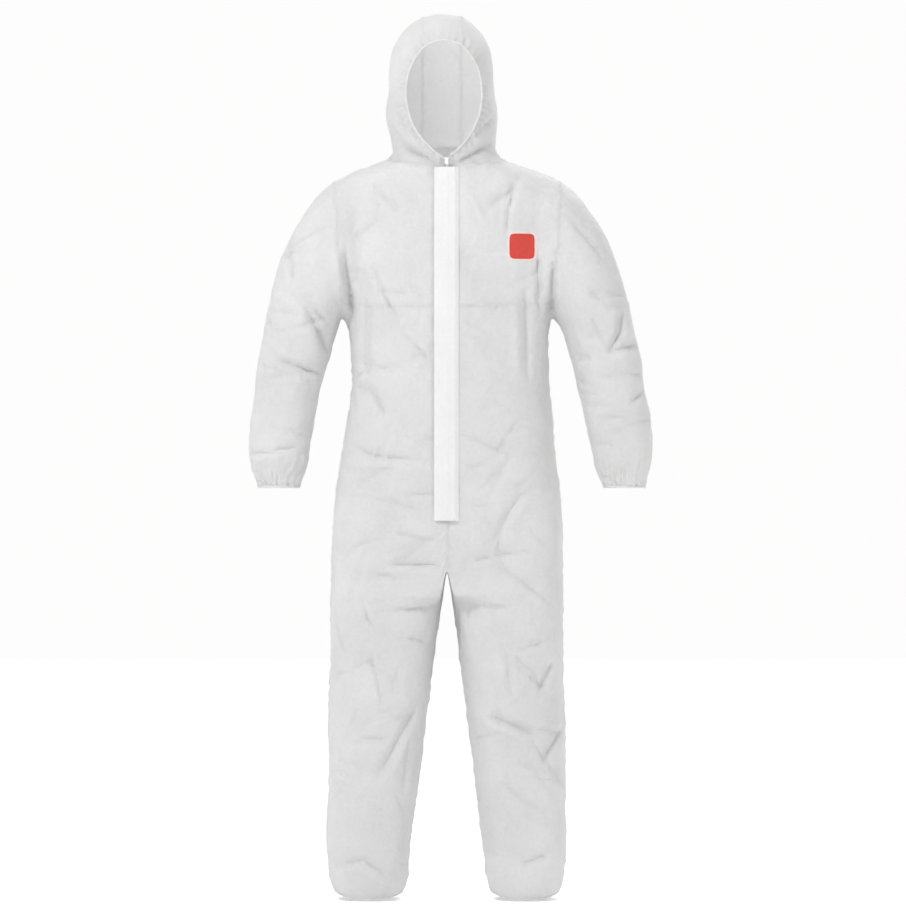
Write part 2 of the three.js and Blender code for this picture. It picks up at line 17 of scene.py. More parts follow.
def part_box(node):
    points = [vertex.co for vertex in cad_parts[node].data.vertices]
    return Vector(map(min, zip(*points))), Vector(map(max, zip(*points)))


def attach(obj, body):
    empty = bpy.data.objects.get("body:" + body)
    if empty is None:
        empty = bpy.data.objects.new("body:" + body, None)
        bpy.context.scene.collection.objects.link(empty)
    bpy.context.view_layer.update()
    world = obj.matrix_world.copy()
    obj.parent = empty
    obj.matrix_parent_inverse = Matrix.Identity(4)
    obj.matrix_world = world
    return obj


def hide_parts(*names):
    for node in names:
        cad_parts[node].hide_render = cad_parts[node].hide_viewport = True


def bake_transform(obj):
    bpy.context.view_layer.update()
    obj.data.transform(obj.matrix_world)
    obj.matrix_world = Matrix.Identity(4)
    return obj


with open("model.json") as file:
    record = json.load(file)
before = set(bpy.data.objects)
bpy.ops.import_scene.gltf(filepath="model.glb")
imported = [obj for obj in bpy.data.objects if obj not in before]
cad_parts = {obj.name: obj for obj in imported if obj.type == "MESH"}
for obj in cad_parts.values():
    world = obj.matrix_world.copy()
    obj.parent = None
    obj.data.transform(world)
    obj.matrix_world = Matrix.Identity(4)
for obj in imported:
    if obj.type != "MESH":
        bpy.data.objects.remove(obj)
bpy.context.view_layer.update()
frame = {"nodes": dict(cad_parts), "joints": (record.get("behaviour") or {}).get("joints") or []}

MM = 0.001
RIGHT, LEFT = -1, 1
SIDES = ((RIGHT, "right"), (LEFT, "left"))

# ---------------------------------------------------------------- places taken from the frame

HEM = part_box("leg_left_front")[0].z
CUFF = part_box("sleeve_left_panel")[0].z
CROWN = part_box("hood_centre_panel")[1].z
CHEST_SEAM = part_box("upper_front_left")[0].z
JOINTS = {joint["name"]: joint for joint in frame["joints"]}
NECK_BACK = Vector(JOINTS["hood_fold"]["pos_m"])
SHOULDER = Vector(JOINTS["sleeve_left_lift"]["pos_m"])
FLAP_HINGE = Vector(JOINTS["flap_open"]["pos_m"])
ZIP_DOWN = Vector(JOINTS["zip_slide"]["axis"])
FLAP_LOW, FLAP_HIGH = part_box("storm_flap")
FLAP_STAND = 5.1 * MM                  # the flap's middle plane in front of the fabric
WAIST_LOW, WAIST_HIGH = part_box("waist_elastic")
WAIST = (WAIST_LOW.z + WAIST_HIGH.z) / 2
WAIST_REACH = WAIST_HIGH.x

ARMHOLE_DEEP = 0.286                   # shoulder seam to underarm
ARMPIT = Vector((0.2105, 0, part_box("sleeve_left_panel")[1].z - ARMHOLE_DEEP))
SLEEVE_INNER = 0.26                    # past this and below the underarm there are only sleeves

NECK_SLOPE = 0.22                      # the neck seam drops towards the front
NECK = NECK_BACK.z - NECK_SLOPE * NECK_BACK.y

# ---------------------------------------------------------------- small tools


def linear(code):
    """An sRGB hex colour as the linear one that shaders take."""
    channels = [int(code[i : i + 2], 16) / 255 for i in (1, 3, 5)]
    curve = [c / 12.92 if c <= 0.04045 else ((c + 0.055) / 1.055) ** 2.4 for c in channels]
    return (*curve, 1.0)


def node(tree, kind, inputs=None, **settings):
    """Adds a node with its properties and sockets. A socket given another node's output is linked to it."""
    made = tree.nodes.new(kind)
    for name, value in settings.items():
        setattr(made, name, value)
    for name, value in (inputs or {}).items():
        if isinstance(value, bpy.types.NodeSocket):
            tree.links.new(value, made.inputs[name])
        else:
            made.inputs[name].default_value = value
    return made


def new_mesh_object(name, bm):
    """A finished bmesh as an object with smooth shading."""
    mesh = bpy.data.meshes.new(name)
    bm.to_mesh(mesh)
    bm.free()
    mesh.shade_smooth()
    made = bpy.data.objects.new(name, mesh)
    bpy.context.scene.collection.objects.link(made)
    return made


def coordinates(mesh):
    """A mesh's vertices as an array with a row for each."""
    flat = np.empty(len(mesh.vertices) * 3)
    mesh.vertices.foreach_get("co", flat)
    return flat.reshape(-1, 3)


def normals(mesh):
    """A mesh's vertex normals as an array with a row for each."""
    flat = np.empty(len(mesh.vertices) * 3)
    mesh.vertex_normals.foreach_get("vector", flat)
    return flat.reshape(-1, 3)


def move_to(mesh, places):
    """Puts a mesh's vertices where an array says."""
    mesh.vertices.foreach_set("co", places.astype(np.float32).ravel())
    mesh.update()


def smoothstep(value, low, high):
    """0 below low, 1 above high, and an eased ramp between them."""
    t = np.clip((value - low) / (high - low), 0, 1)
    return t * t * (3 - 2 * t)


# ---------------------------------------------------------------- camera, light and floor

CAMERA_DISTANCE = 12.0
VIEW_HEIGHT = 1.816                    # what the frame's height takes in at that distance
SENSOR = 36.0


def studio():
    """A white sweep lit softly from all round, with the camera level with the waist."""
    scene = bpy.context.scene
    data = bpy.data.cameras.new("camera")
    data.sensor_width = SENSOR
    data.lens = SENSOR * CAMERA_DISTANCE / VIEW_HEIGHT
    camera = bpy.data.objects.new("camera", data)
    camera.location = (0.012, -CAMERA_DISTANCE, (CROWN + HEM) / 2 + 0.003)
    camera.rotation_euler = (math.pi / 2, 0, 0)
    scene.collection.objects.link(camera)
    scene.camera = camera

    world = bpy.data.worlds.new("studio")
    world.use_nodes = True
    # White behind and above the suit and dimmer behind the camera, so that the lamps can shape the folds.
    sky = world.node_tree
    place = node(sky, "ShaderNodeTexCoord").outputs["Generated"]
    towards = node(sky, "ShaderNodeVectorMath", {0: place, 1: (0, 0.8, 0.75)}, operation="DOT_PRODUCT")
    strength = node(sky, "ShaderNodeMapRange", {"Value": towards.outputs["Value"], "From Min": -0.25,
                                                "From Max": 0.3, "To Min": 0.30, "To Max": 1.0})
    background = world.node_tree.nodes["Background"]
    background.inputs["Color"].default_value = linear("#fefdfd")
    world.node_tree.links.new(strength.outputs["Result"], background.inputs["Strength"])
    scene.world = world
    scene.view_settings.view_transform = "Standard"

    for name, place, size, power in (
        ("key", (-1.7, -2.4, 3.4), 0.7, 84),
        ("fill", (2.5, -2.3, 2.4), 1.2, 20),
        ("rim", (1.2, 2.1, 2.9), 1.0, 36),
    ):
        lamp = bpy.data.lights.new(name, "AREA")
        lamp.size = size
        lamp.energy = power
        light = bpy.data.objects.new(name, lamp)
        light.location = place
        towards = Vector((0, 0, 0.95)) - Vector(place)
        light.rotation_euler = towards.to_track_quat("-Z", "Y").to_euler()
        scene.collection.objects.link(light)

    bm = bmesh.new()
    bmesh.ops.create_grid(bm, x_segments=1, y_segments=1, size=14)
    bmesh.ops.translate(bm, verts=bm.verts, vec=(0, 0, HEM - 0.004))
    floor = new_mesh_object("floor", bm)
    paint = bpy.data.materials.new("matt white vinyl sweep")
    paint.use_nodes = True
    shader = paint.node_tree.nodes["Principled BSDF"]
    shader.inputs["Base Color"].default_value = linear("#f8f8f8")
    shader.inputs["Roughness"].default_value = 0.9
    shader.inputs["Emission Color"].default_value = linear("#ffffff")
    shader.inputs["Emission Strength"].default_value = 0.22
    floor.data.materials.append(paint)


# ---------------------------------------------------------------- garment tubes

RING_SIDES = 72
CLOTH_CELL = 9 * MM                    # cells of the cloth before it is subdivided


def eased(rows, steps):
    """Rows of numbers along a tube, run through a smooth curve into more of them."""
    rows = np.array(rows, float)
    padded = np.vstack([2 * rows[0] - rows[1], rows, 2 * rows[-1] - rows[-2]])
    out = []
    for t in np.linspace(0, len(rows) - 1, steps):
        i = min(int(t), len(rows) - 2)
        u = t - i
        a, b, c, d = padded[i : i + 4]
        slope, bend, twist = c - a, 2 * a - 5 * b + 4 * c - d, 3 * b - a - 3 * c + d
        out.append(0.5 * (2 * b + slope * u + bend * u**2 + twist * u**3))
    return out


def tube(rows, steps):
    """A closed tube through level ovals: rows of height, left, right, front, back and squareness."""
    rings = eased(rows, steps)
    bm = bmesh.new()
    bmesh.ops.create_circle(bm, cap_ends=False, segments=RING_SIDES, radius=1)
    edges = bm.edges[:]
    bmesh.ops.contextual_create(bm, geom=edges)
    for _ in rings[1:]:
        grown = bmesh.ops.extrude_edge_only(bm, edges=edges)["geom"]
        edges = [g for g in grown if isinstance(g, bmesh.types.BMEdge) and len(g.link_faces) == 1]
        edges = [e for e in edges if all(v in grown for v in e.verts)]
        bmesh.ops.translate(bm, verts=list({v for e in edges for v in e.verts}), vec=(0, 0, 1))
    bmesh.ops.contextual_create(bm, geom=edges)
    for v in bm.verts:
        z, left, right, front, back, square = rings[round(v.co.z)]
        turn = math.atan2(v.co.y, v.co.x)
        x = math.copysign(abs(math.cos(turn)) ** (2 / square), math.cos(turn))
        y = math.copysign(abs(math.sin(turn)) ** (2 / square), math.sin(turn))
        v.co = ((left + right) / 2 + x * (right - left) / 2, y * (back if y > 0 else -front), z)
    bmesh.ops.recalc_face_normals(bm, faces=bm.faces[:])
    return bm


def front_line(z):
    """How far forward the straight edge that carries the zip lies at a height."""
    along = (z - FLAP_HINGE.z) / ZIP_DOWN.z
    return FLAP_HINGE.y + FLAP_STAND + ZIP_DOWN.y * along


def trunk():
    """The body from the crotch to the neck, a little fuller on the wearer's left."""
    rows = [
        (0.600, -0.229, 0.230, 0.118, 3.4),
        (0.680, -0.230, 0.230, 0.122, 3.2),
        (0.735, -0.227, 0.228, 0.125, 3.0),
        (0.820, -0.219, 0.223, 0.126, 2.8),
        (0.910, -0.207, 0.214, 0.120, 2.6),
        (1.000, -0.192, 0.206, 0.112, 2.5),
        (1.050, -0.189, 0.205, 0.113, 2.4),
        (1.120, -0.192, 0.204, 0.120, 2.4),
        (1.180, -0.198, 0.208, 0.127, 2.4),
        (1.260, -0.212, 0.218, 0.132, 2.4),
        (1.340, -0.236, 0.240, 0.130, 2.3),
        (1.395, -0.258, 0.262, 0.122, 2.2),
        (1.425, -0.232, 0.236, 0.112, 2.1),
        (1.448, -0.186, 0.188, 0.106, 2.1),
        (1.468, -0.132, 0.130, 0.104, 2.1),
        (1.484, -0.100, 0.098, 0.103, 2.1),
        (1.530, -0.094, 0.092, 0.100, 2.1),
    ]
    return tube([(z, a, b, front_line(z), back, sq) for z, a, b, back, sq in rows], 90)


def hood_bag():
    """The hood from the neck up, leaning a little to the wearer's right."""
    rows = [
        (1.440, -0.100, 0.096, -0.094, 0.100, 2.1),
        (1.472, -0.106, 0.101, -0.100, 0.106, 2.1),
        (1.512, -0.112, 0.098, -0.107, 0.113, 2.1),
        (1.545, -0.121, 0.102, -0.112, 0.119, 2.1),
        (1.575, -0.123, 0.101, -0.114, 0.122, 2.1),
        (1.606, -0.116, 0.095, -0.112, 0.124, 2.1),
        (1.655, -0.115, 0.091, -0.111, 0.124, 2.1),
        (1.688, -0.110, 0.087, -0.104, 0.118, 2.1),
        (1.716, -0.097, 0.075, -0.092, 0.106, 2.1),
        (1.742, -0.076, 0.054, -0.070, 0.084, 2.1),
        (1.758, -0.052, 0.034, -0.044, 0.055, 2.1),
        (1.765, -0.018, 0.002, -0.012, 0.020, 2.0),
    ]
    return tube(rows, 44)


SLEEVE_SHIFT = 0.009                   # how far both cuffs swing towards the wearer's left


def sleeve_bag(side):
    """A sleeve from the cuff up into the shoulder. The wearer's left one hangs a little further out."""
    rows = [
        (0.812, 0.304, 0.386, -0.037, 0.034),
        (0.832, 0.300, 0.390, -0.040, 0.037),
        (0.856, 0.290, 0.398, -0.048, 0.044),
        (0.890, 0.283, 0.403, -0.055, 0.051),
        (0.950, 0.270, 0.400, -0.061, 0.058),
        (1.013, 0.257, 0.390, -0.066, 0.066),
        (1.080, 0.240, 0.381, -0.072, 0.074),
        (1.130, 0.226, 0.371, -0.078, 0.082),
        (1.165, 0.206, 0.364, -0.084, 0.090),
        (1.205, 0.180, 0.354, -0.090, 0.098),
        (1.265, 0.150, 0.336, -0.093, 0.104),
        (1.320, 0.150, 0.312, -0.093, 0.102),
        (1.370, 0.150, 0.282, -0.086, 0.094),
        (1.405, 0.150, 0.256, -0.070, 0.078),
        (1.428, 0.150, 0.230, -0.052, 0.060),
        (1.438, 0.150, 0.205, -0.036, 0.044),
    ]
    top, bottom = rows[-1][0], rows[0][0]
    made = []
    for z, near, far, front, back in rows:
        out = SLEEVE_SHIFT * (top - z) / (top - bottom)
        low, high = sorted((side * near + out, side * far + out))
        made.append((z, low, high, front, back, 2.15))
    return tube(made, 64)


def leg_bag(side):
    """A leg from the hem up into the hip."""
    rows = [
        (-0.010, 0.094, 0.214, -0.074, 0.076, 2.4),
        (0.014, 0.084, 0.229, -0.084, 0.087, 2.4),
        (0.045, 0.077, 0.234, -0.087, 0.090, 2.5),
        (0.120, 0.071, 0.237, -0.089, 0.092, 2.5),
        (0.230, 0.058, 0.236, -0.092, 0.094, 2.5),
        (0.350, 0.043, 0.235, -0.096, 0.097, 2.5),
        (0.460, 0.029, 0.232, -0.102, 0.104, 2.6),
        (0.560, 0.015, 0.231, -0.110, 0.112, 2.8),
        (0.625, 0.005, 0.230, -0.117, 0.118, 3.2),
        (0.670, -0.006, 0.229, -0.121, 0.122, 3.6),
        (0.740, -0.010, 0.226, -0.120, 0.123, 3.4),
        (0.800, -0.010, 0.221, -0.118, 0.123, 3.2),
    ]
    made = [(z, *sorted((side * a, side * b)), front, back, sq) for z, a, b, front, back, sq in rows]
    return tube(made, 76)


def joined_skin():
    """All the tubes as one closed skin of even cells."""
    bm = bmesh.new()
    for tube_bm in (trunk(), hood_bag(), *(sleeve_bag(s) for s, _ in SIDES), *(leg_bag(s) for s, _ in SIDES)):
        mesh = bpy.data.meshes.new("tube")
        tube_bm.to_mesh(mesh)
        bm.from_mesh(mesh)
        tube_bm.free()
        bpy.data.meshes.remove(mesh)
    skin = new_mesh_object("skin", bm)
    remesh = skin.modifiers.new("even_cells", "REMESH")
    remesh.mode = "VOXEL"
    remesh.voxel_size = CLOTH_CELL
    return applied(skin)


def applied(obj):
    """The object with its modifiers worked into its mesh."""
    graph = bpy.context.evaluated_depsgraph_get()
    mesh = bpy.data.meshes.new_from_object(obj.evaluated_get(graph), depsgraph=graph)
    obj.modifiers.clear()
    old = obj.data
    obj.data = mesh
    bpy.data.meshes.remove(old)
    return obj


# ---------------------------------------------------------------- seams and panels

PANELS = (
    "upper_front_right", "upper_front_left", "front_right", "front_left", "back_right", "back_left",
    "hood_centre", "hood_right", "hood_left", "sleeve_right", "sleeve_left",
)
HOOD_LEAN = -0.010                     # middle of the crown strip
HOOD_STRIP = 0.038                     # half its width
FACE_MIDDLE = Vector((-0.006, 0, 1.604))
FACE_HALF_WIDTH = 0.0755
FACE_TOP = 1.708
FACE_CHIN = 1.470
ZIP_HALF_GAP = 5 * MM
ZIP_FOOT = FLAP_LOW.z
TRIM = 1.5 * MM                        # how far inside its CAD edge the cloth is cut, for the casing's roll


def face_outline(count=120):
    """The face opening from in front: half an ellipse above, drawn in to a V at the chin."""
    out = []
    middle, wide = FACE_MIDDLE, FACE_HALF_WIDTH
    for i in range(count):
        turn = math.pi * i / count
        out.append((middle.x + wide * math.cos(turn), middle.z + (FACE_TOP - middle.z) * math.sin(turn)))
    chin = (middle.x + 0.004, FACE_CHIN)
    drop = middle.z - FACE_CHIN
    for side in (-1, 1):
        side_points = []
        for i in range(count):
            u = i / count
            places = (
                (middle.x + side * wide, middle.z),
                (middle.x + side * wide, middle.z - 0.33 * drop),
                (middle.x + side * 0.80 * wide, middle.z - 0.70 * drop),
                chin,
            )
            weights = ((1 - u) ** 3, 3 * u * (1 - u) ** 2, 3 * u * u * (1 - u), u**3)
            side_points.append(tuple(sum(w * p[k] for w, p in zip(weights, places)) for k in (0, 1)))
        out += side_points if side < 0 else [(chin[0], chin[1])] + side_points[::-1]
    return np.array(out)


OUTLINE = face_outline()


def inside_outline(x, z):
    """Whether a point seen from in front lies in the face opening."""
    a, b = OUTLINE, np.roll(OUTLINE, -1, axis=0)
    crosses = (a[:, 1] > z) != (b[:, 1] > z)
    with np.errstate(divide="ignore", invalid="ignore"):
        at = a[:, 0] + (z - a[:, 1]) / (b[:, 1] - a[:, 1]) * (b[:, 0] - a[:, 0])
    return np.count_nonzero(crosses & (x < at)) % 2 == 1


def above_neck(p):
    return p.z - NECK_SLOPE * p.y - NECK


def past_armhole(p):
    """How far a point is outside the armhole, or outside the gap between body and sleeve below it."""
    if p.z < ARMPIT.z - 0.012:
        return abs(p.x) - ARMPIT.x - 0.1 * (ARMPIT.z - p.z)
    lean = (SHOULDER.x - ARMPIT.x) / (SHOULDER.z - ARMPIT.z)
    return abs(p.x) - ARMPIT.x - lean * (p.z - ARMPIT.z)


def panel_of(p):
    """The panel that a point of the skin belongs to."""
    if above_neck(p) > 0:
        strip = abs(p.x - HOOD_LEAN) < HOOD_STRIP and (p.y > 0 or p.z > FACE_MIDDLE.z)
        if strip:
            return "hood_centre"
        return "hood_left" if p.x > HOOD_LEAN else "hood_right"
    name = "left" if p.x > 0 else "right"
    if past_armhole(p) > 0 and CUFF - 0.05 < p.z:
        return "sleeve_" + name
    if p.y > 0:
        return "back_" + name
    return ("upper_front_" if p.z > CHEST_SEAM else "front_") + name


def cut(bm, point, normal, where, remove=False):
    """Cuts the faces that where picks along a plane, and can drop what lies on its far side."""
    faces = [f for f in bm.faces if where(f.calc_center_median())]
    edges = dict.fromkeys(e for f in faces for e in f.edges)
    verts = dict.fromkeys(v for f in faces for v in f.verts)
    bmesh.ops.bisect_plane(bm, geom=[*faces, *edges, *verts], plane_co=point, plane_no=normal,
                           dist=0.8 * MM, clear_outer=remove)


def cut_seams(bm):
    """Trims the cuffs and hems, lays an edge along every seam, and opens the face and the zip."""
    cut(bm, (0, 0, CUFF + TRIM), (0, 0, -1), lambda p: abs(p.x) > SLEEVE_INNER and p.z < CUFF + 0.1, True)
    cut(bm, (0, 0, HEM + TRIM), (0, 0, -1), lambda p: p.z < HEM + 0.1, True)
    cut(bm, (0, 0, NECK), (0, -NECK_SLOPE, 1), lambda p: abs(p.x) < 0.15 and abs(above_neck(p)) < 0.03)
    lean = Vector((SHOULDER.z - ARMPIT.z, 0, ARMPIT.x - SHOULDER.x))
    for side, _ in SIDES:
        normal = (side * lean.x, 0, lean.z)
        cut(bm, (side * ARMPIT.x, 0, ARMPIT.z), normal,
            lambda p, s=side: p.x * s > 0.15 and p.z > ARMPIT.z - 0.015)
        cut(bm, (HOOD_LEAN + side * HOOD_STRIP, 0, 0), (1, 0, 0),
            lambda p: above_neck(p) > 0 and (p.y > 0 or p.z > FACE_MIDDLE.z))
        cut(bm, (side * ZIP_HALF_GAP, 0, 0), (1, 0, 0),
            lambda p: p.y < -0.06 and ZIP_FOOT < p.z < FACE_CHIN + 0.01)
    cut(bm, (0, 0, CHEST_SEAM), (0, 0, 1), lambda p: p.y < 0 and past_armhole(p) < 0)
    cut(bm, (0, 0, 0), (0, 1, 0), lambda p: above_neck(p) < 0 and past_armhole(p) < 0 or p.z < CUFF - 0.05)
    cut(bm, (0, 0, 0), (1, 0, 0), lambda p: above_neck(p) < 0 and (p.y > 0 or p.z < ZIP_FOOT))
    cut(bm, (0, 0, ZIP_FOOT), (0, 0, 1), lambda p: abs(p.x) < 0.02 and p.y < 0)
    bmesh.ops.remove_doubles(bm, verts=bm.verts[:], dist=1.2 * MM)

    def in_an_opening(p):
        face = p.y < -0.03 and p.z > FACE_CHIN - 0.01 and inside_outline(p.x, p.z)
        slot = abs(p.x) < ZIP_HALF_GAP and p.y < -0.06 and ZIP_FOOT < p.z < FACE_CHIN + 0.03
        return face or slot

    opened = [f for f in bm.faces if in_an_opening(f.calc_center_median())]
    bmesh.ops.delete(bm, geom=opened, context="FACES")
    for v in bm.verts:
        if not (v.is_boundary and v.co.z > FACE_CHIN - 0.004):
            continue
        away = OUTLINE - np.array((v.co.x, v.co.z))
        nearest = OUTLINE[np.argmin((away**2).sum(axis=1))]
        if abs(v.co.x) > ZIP_HALF_GAP + 1 * MM or v.co.z > FACE_CHIN + 0.02:
            v.co.x, v.co.z = float(nearest[0]), float(nearest[1])
    loose = [v for v in bm.verts if not v.link_faces]
    bmesh.ops.delete(bm, geom=loose, context="VERTS")


# ---------------------------------------------------------------- folds and cloth

# Each fold: depth and width in millimetres, then the (x, z) places that it runs through, in metres.
FRONT_FOLDS = (
    (7, 9, (-0.288, 1.193), (-0.232, 1.081)),
    (9, 8, (-0.350, 1.079), (-0.282, 1.053), (-0.246, 1.043)),
    (5, 6, (-0.294, 1.039), (-0.268, 1.027)),
    (5, 7, (-0.344, 0.893), (-0.296, 0.897)),
    (5, 8, (0.276, 1.113), (0.324, 1.129)),
    (9, 8, (0.322, 1.089), (0.346, 1.127), (0.350, 1.177)),
    (8, 8, (0.318, 1.087), (0.380, 1.105)),
    (5, 6, (0.256, 1.073), (0.286, 1.077)),
    (6, 7, (0.366, 0.987), (0.392, 1.011)),
    (6, 8, (0.298, 0.953), (0.370, 0.963)),
    (4, 6, (0.302, 0.911), (0.332, 0.901)),
    (6, 9, (-0.190, 1.021), (-0.150, 1.011), (-0.116, 0.955)),
    (6, 9, (-0.192, 0.907), (-0.142, 0.881), (-0.036, 0.871)),
    (5, 10, (-0.152, 0.803), (-0.034, 0.769)),
    (5, 9, (-0.108, 0.733), (-0.034, 0.709)),
    (9, 6, (-0.128, 0.663), (-0.074, 0.667), (-0.006, 0.663)),
    (6, 8, (-0.152, 0.647), (-0.094, 0.639)),
    (6, 6, (0.032, 0.667), (0.108, 0.687), (0.178, 0.695)),
    (7, 8, (0.094, 0.709), (0.122, 0.769), (0.148, 0.805), (0.174, 0.817)),
    (-3, 5, (0.030, 0.605), (0.066, 0.595), (0.136, 0.583)),
    (-3, 5, (-0.158, 0.573), (-0.080, 0.587), (-0.034, 0.609)),
    (6, 9, (-0.186, 0.317), (-0.116, 0.319)),
    (5, 8, (-0.224, 0.275), (-0.162, 0.265)),
    (7, 10, (-0.140, 0.237), (-0.056, 0.393)),
    (8, 9, (0.072, 0.371), (0.186, 0.325)),
    (6, 8, (0.178, 0.401), (0.212, 0.479)),
    (6, 8, (0.186, 0.265), (0.232, 0.345)),
    (6, 8, (-0.220, 0.065), (-0.166, 0.079), (-0.112, 0.043)),
    (6, 8, (0.144, 0.069), (0.206, 0.091)),
    (5, 10, (-0.157, 1.220), (-0.160, 1.025)),
    (5, 10, (0.157, 1.220), (0.160, 1.025)),
    (9, 8, (-0.204, 1.300), (-0.187, 1.150)),
    (9, 8, (0.212, 1.280), (0.205, 1.150)),
    (9, 8, (-0.092, 1.500), (-0.050, 1.478), (-0.016, 1.462)),
    (9, 8, (0.088, 1.505), (0.048, 1.480), (0.014, 1.460)),
    (7, 7, (-0.100, 1.556), (-0.052, 1.506)),
    (7, 7, (0.092, 1.560), (0.050, 1.508)),
    (4, 12, (-0.150, 1.425), (-0.080, 1.360)),
    (4, 12, (0.150, 1.425), (0.080, 1.370)),
)


def run_distance(x, z, places):
    """Signed distance from points to a broken line, and a fade to nothing at its two ends."""
    best = np.full(len(x), 9.0)
    signed = np.full(len(x), 9.0)
    along = np.zeros(len(x))
    lengths = [math.dist(a, b) for a, b in zip(places, places[1:])]
    done = 0.0
    for (ax, az), (bx, bz), length in zip(places, places[1:], lengths):
        ux, uz = (bx - ax) / length, (bz - az) / length
        t = (x - ax) * ux + (z - az) * uz
        held = np.clip(t, 0, length)
        away = np.hypot(x - ax - held * ux, z - az - held * uz)
        side = (x - ax) * uz - (z - az) * ux
        nearer = away < best
        best = np.where(nearer, away, best)
        signed = np.where(nearer, np.copysign(away, side), signed)
        along = np.where(nearer, (done + held) / sum(lengths), along)
        done += length
    return signed, smoothstep(along, 0, 0.25) * smoothstep(1 - along, 0, 0.25) * 0.85 + 0.15


def fold_profile(signed, depth, width):
    """A groove with a ridge of pushed-up cloth along one side of it."""
    groove = np.exp(-((signed / width) ** 2))
    ridge = np.exp(-(((signed - 1.7 * width) / (1.2 * width)) ** 2))
    return depth * (0.55 * ridge - groove)


def drawn_fold(rng, x, z, half, depths, widths):
    """A random fold through (x, z): its depth and width in millimetres, then its two ends."""
    depth, width = rng.uniform(*depths), rng.uniform(*widths)
    return depth, width, (x - half.x, z - half.y), (x + half.x, z + half.y)


def front_creases():
    """Shallow creases between the main folds in front, which are drawn at random but always the same."""
    rng = np.random.default_rng(5)
    folds = []
    for low, high, near, far, count, slope in (
        (0.05, 0.62, 0.06, 0.22, 44, 1.1),
        (0.62, 1.15, 0.03, 0.19, 36, 0.6),
        (1.18, 1.42, 0.04, 0.19, 16, 1.0),
        (0.87, 1.36, 0.25, 0.38, 44, 0.6),
    ):
        for _ in range(count):
            x, z = rng.uniform(near, far) * rng.choice((-1, 1)), rng.uniform(low, high)
            half = Vector((rng.uniform(0.02, 0.075), 0))
            half.rotate(Matrix.Rotation(rng.normal(0, slope), 2))
            folds.append(drawn_fold(rng, x, z, half, (1.8, 4.8), (4, 7)))
    return folds


def back_folds():
    """Folds for the back and the sides, which are drawn at random but always the same."""
    rng = np.random.default_rng(11)
    folds = []
    for low, high, reach, count, slope in (
        (0.06, 0.60, 0.20, 26, 0.5),
        (0.60, 0.98, 0.19, 22, 0.45),
        (1.04, 1.42, 0.17, 14, 0.7),
        (0.86, 1.30, 0.38, 22, 0.4),
    ):
        for _ in range(count):
            x, z = rng.uniform(-reach, reach), rng.uniform(low, high)
            length = rng.uniform(0.05, 0.13)
            turn = rng.normal(0, slope)
            half = Vector((math.cos(turn), math.sin(turn))) * length / 2
            folds.append(drawn_fold(rng, x, z, half, (3, 8), (7, 12)))
    return folds


def fractal(points, size, octaves, seed):
    """Smooth noise of a given size of lump, in -1 to 1, at each point."""
    shift = Vector((seed * 17.3, seed * 5.1, seed * 9.7))
    return np.array([noise.fractal(Vector(p) / size + shift, 0.9, 2.1, octaves) for p in points])


def creases(points, size, seed):
    """Crisp ridges between flat facets, as paper has once it was crushed: 0 on a facet, 1 on a ridge."""
    shift = Vector((seed * 3.7, seed * 11.9, seed * 7.3))
    out = np.empty(len(points))
    for i, p in enumerate(points):
        distances = noise.voronoi(Vector(p) / size + shift)[0]
        out[i] = distances[1] - distances[0]
    return 1 - smoothstep(out, 0, 0.45)


CROTCH_CALM = 0.760                    # cloth above this height keeps its place
CROTCH_ARCH = 0.598                    # where the joined tubes part into legs
CROTCH_LIFT = 0.052                    # how much higher the sewn crotch is
UNDERARM_LIFT = 12 * MM
HEM_DROOP = 14 * MM                    # how much lower a hem hangs in its middle
HEM_LOWEST = 0.156                     # where a hem hangs lowest, out from the suit's middle
HEM_MIDDLE, CUFF_MIDDLE = 0.155, 0.352  # what the gathers run round, out from the suit's middle
CRISP = 0.42                           # depth of a pressed crease as a share of its fold
SEAM_RIDGE, SEAM_PUCKER = 4 * MM, 14 * MM
FACE_GATHERS = 46
WAIST_GATHER = 16 * MM                 # from one gather to the next
WAIST_SIDE = 0.215                     # the elastic draws in the cloth between these sides
SETTLE_FRAMES = 22


def steadiness(points):
    """How firmly each place is held: 1 at seams that have to meet hard parts, less on open cloth."""
    x, y, z = points.T
    held = smoothstep(-np.abs(z - HEM), -0.030, -0.004) * (z < HEM + 0.1)
    held = np.maximum(held, smoothstep(-np.abs(z - CUFF), -0.030, -0.004) * (np.abs(x) > SLEEVE_INNER))
    by_zip = (y < -0.05) * (z > ZIP_FOOT - 0.01) * (z < FACE_CHIN + 0.02)
    held = np.maximum(held, smoothstep(-np.abs(x), -0.045, -0.012) * by_zip)
    spread = np.sqrt(((points[:, None, (0, 2)] - OUTLINE[None, ::6, :]) ** 2).sum(axis=2).min(axis=1))
    return np.maximum(held, smoothstep(-spread, -0.03, -0.006) * (y < 0) * (z > 1.4))


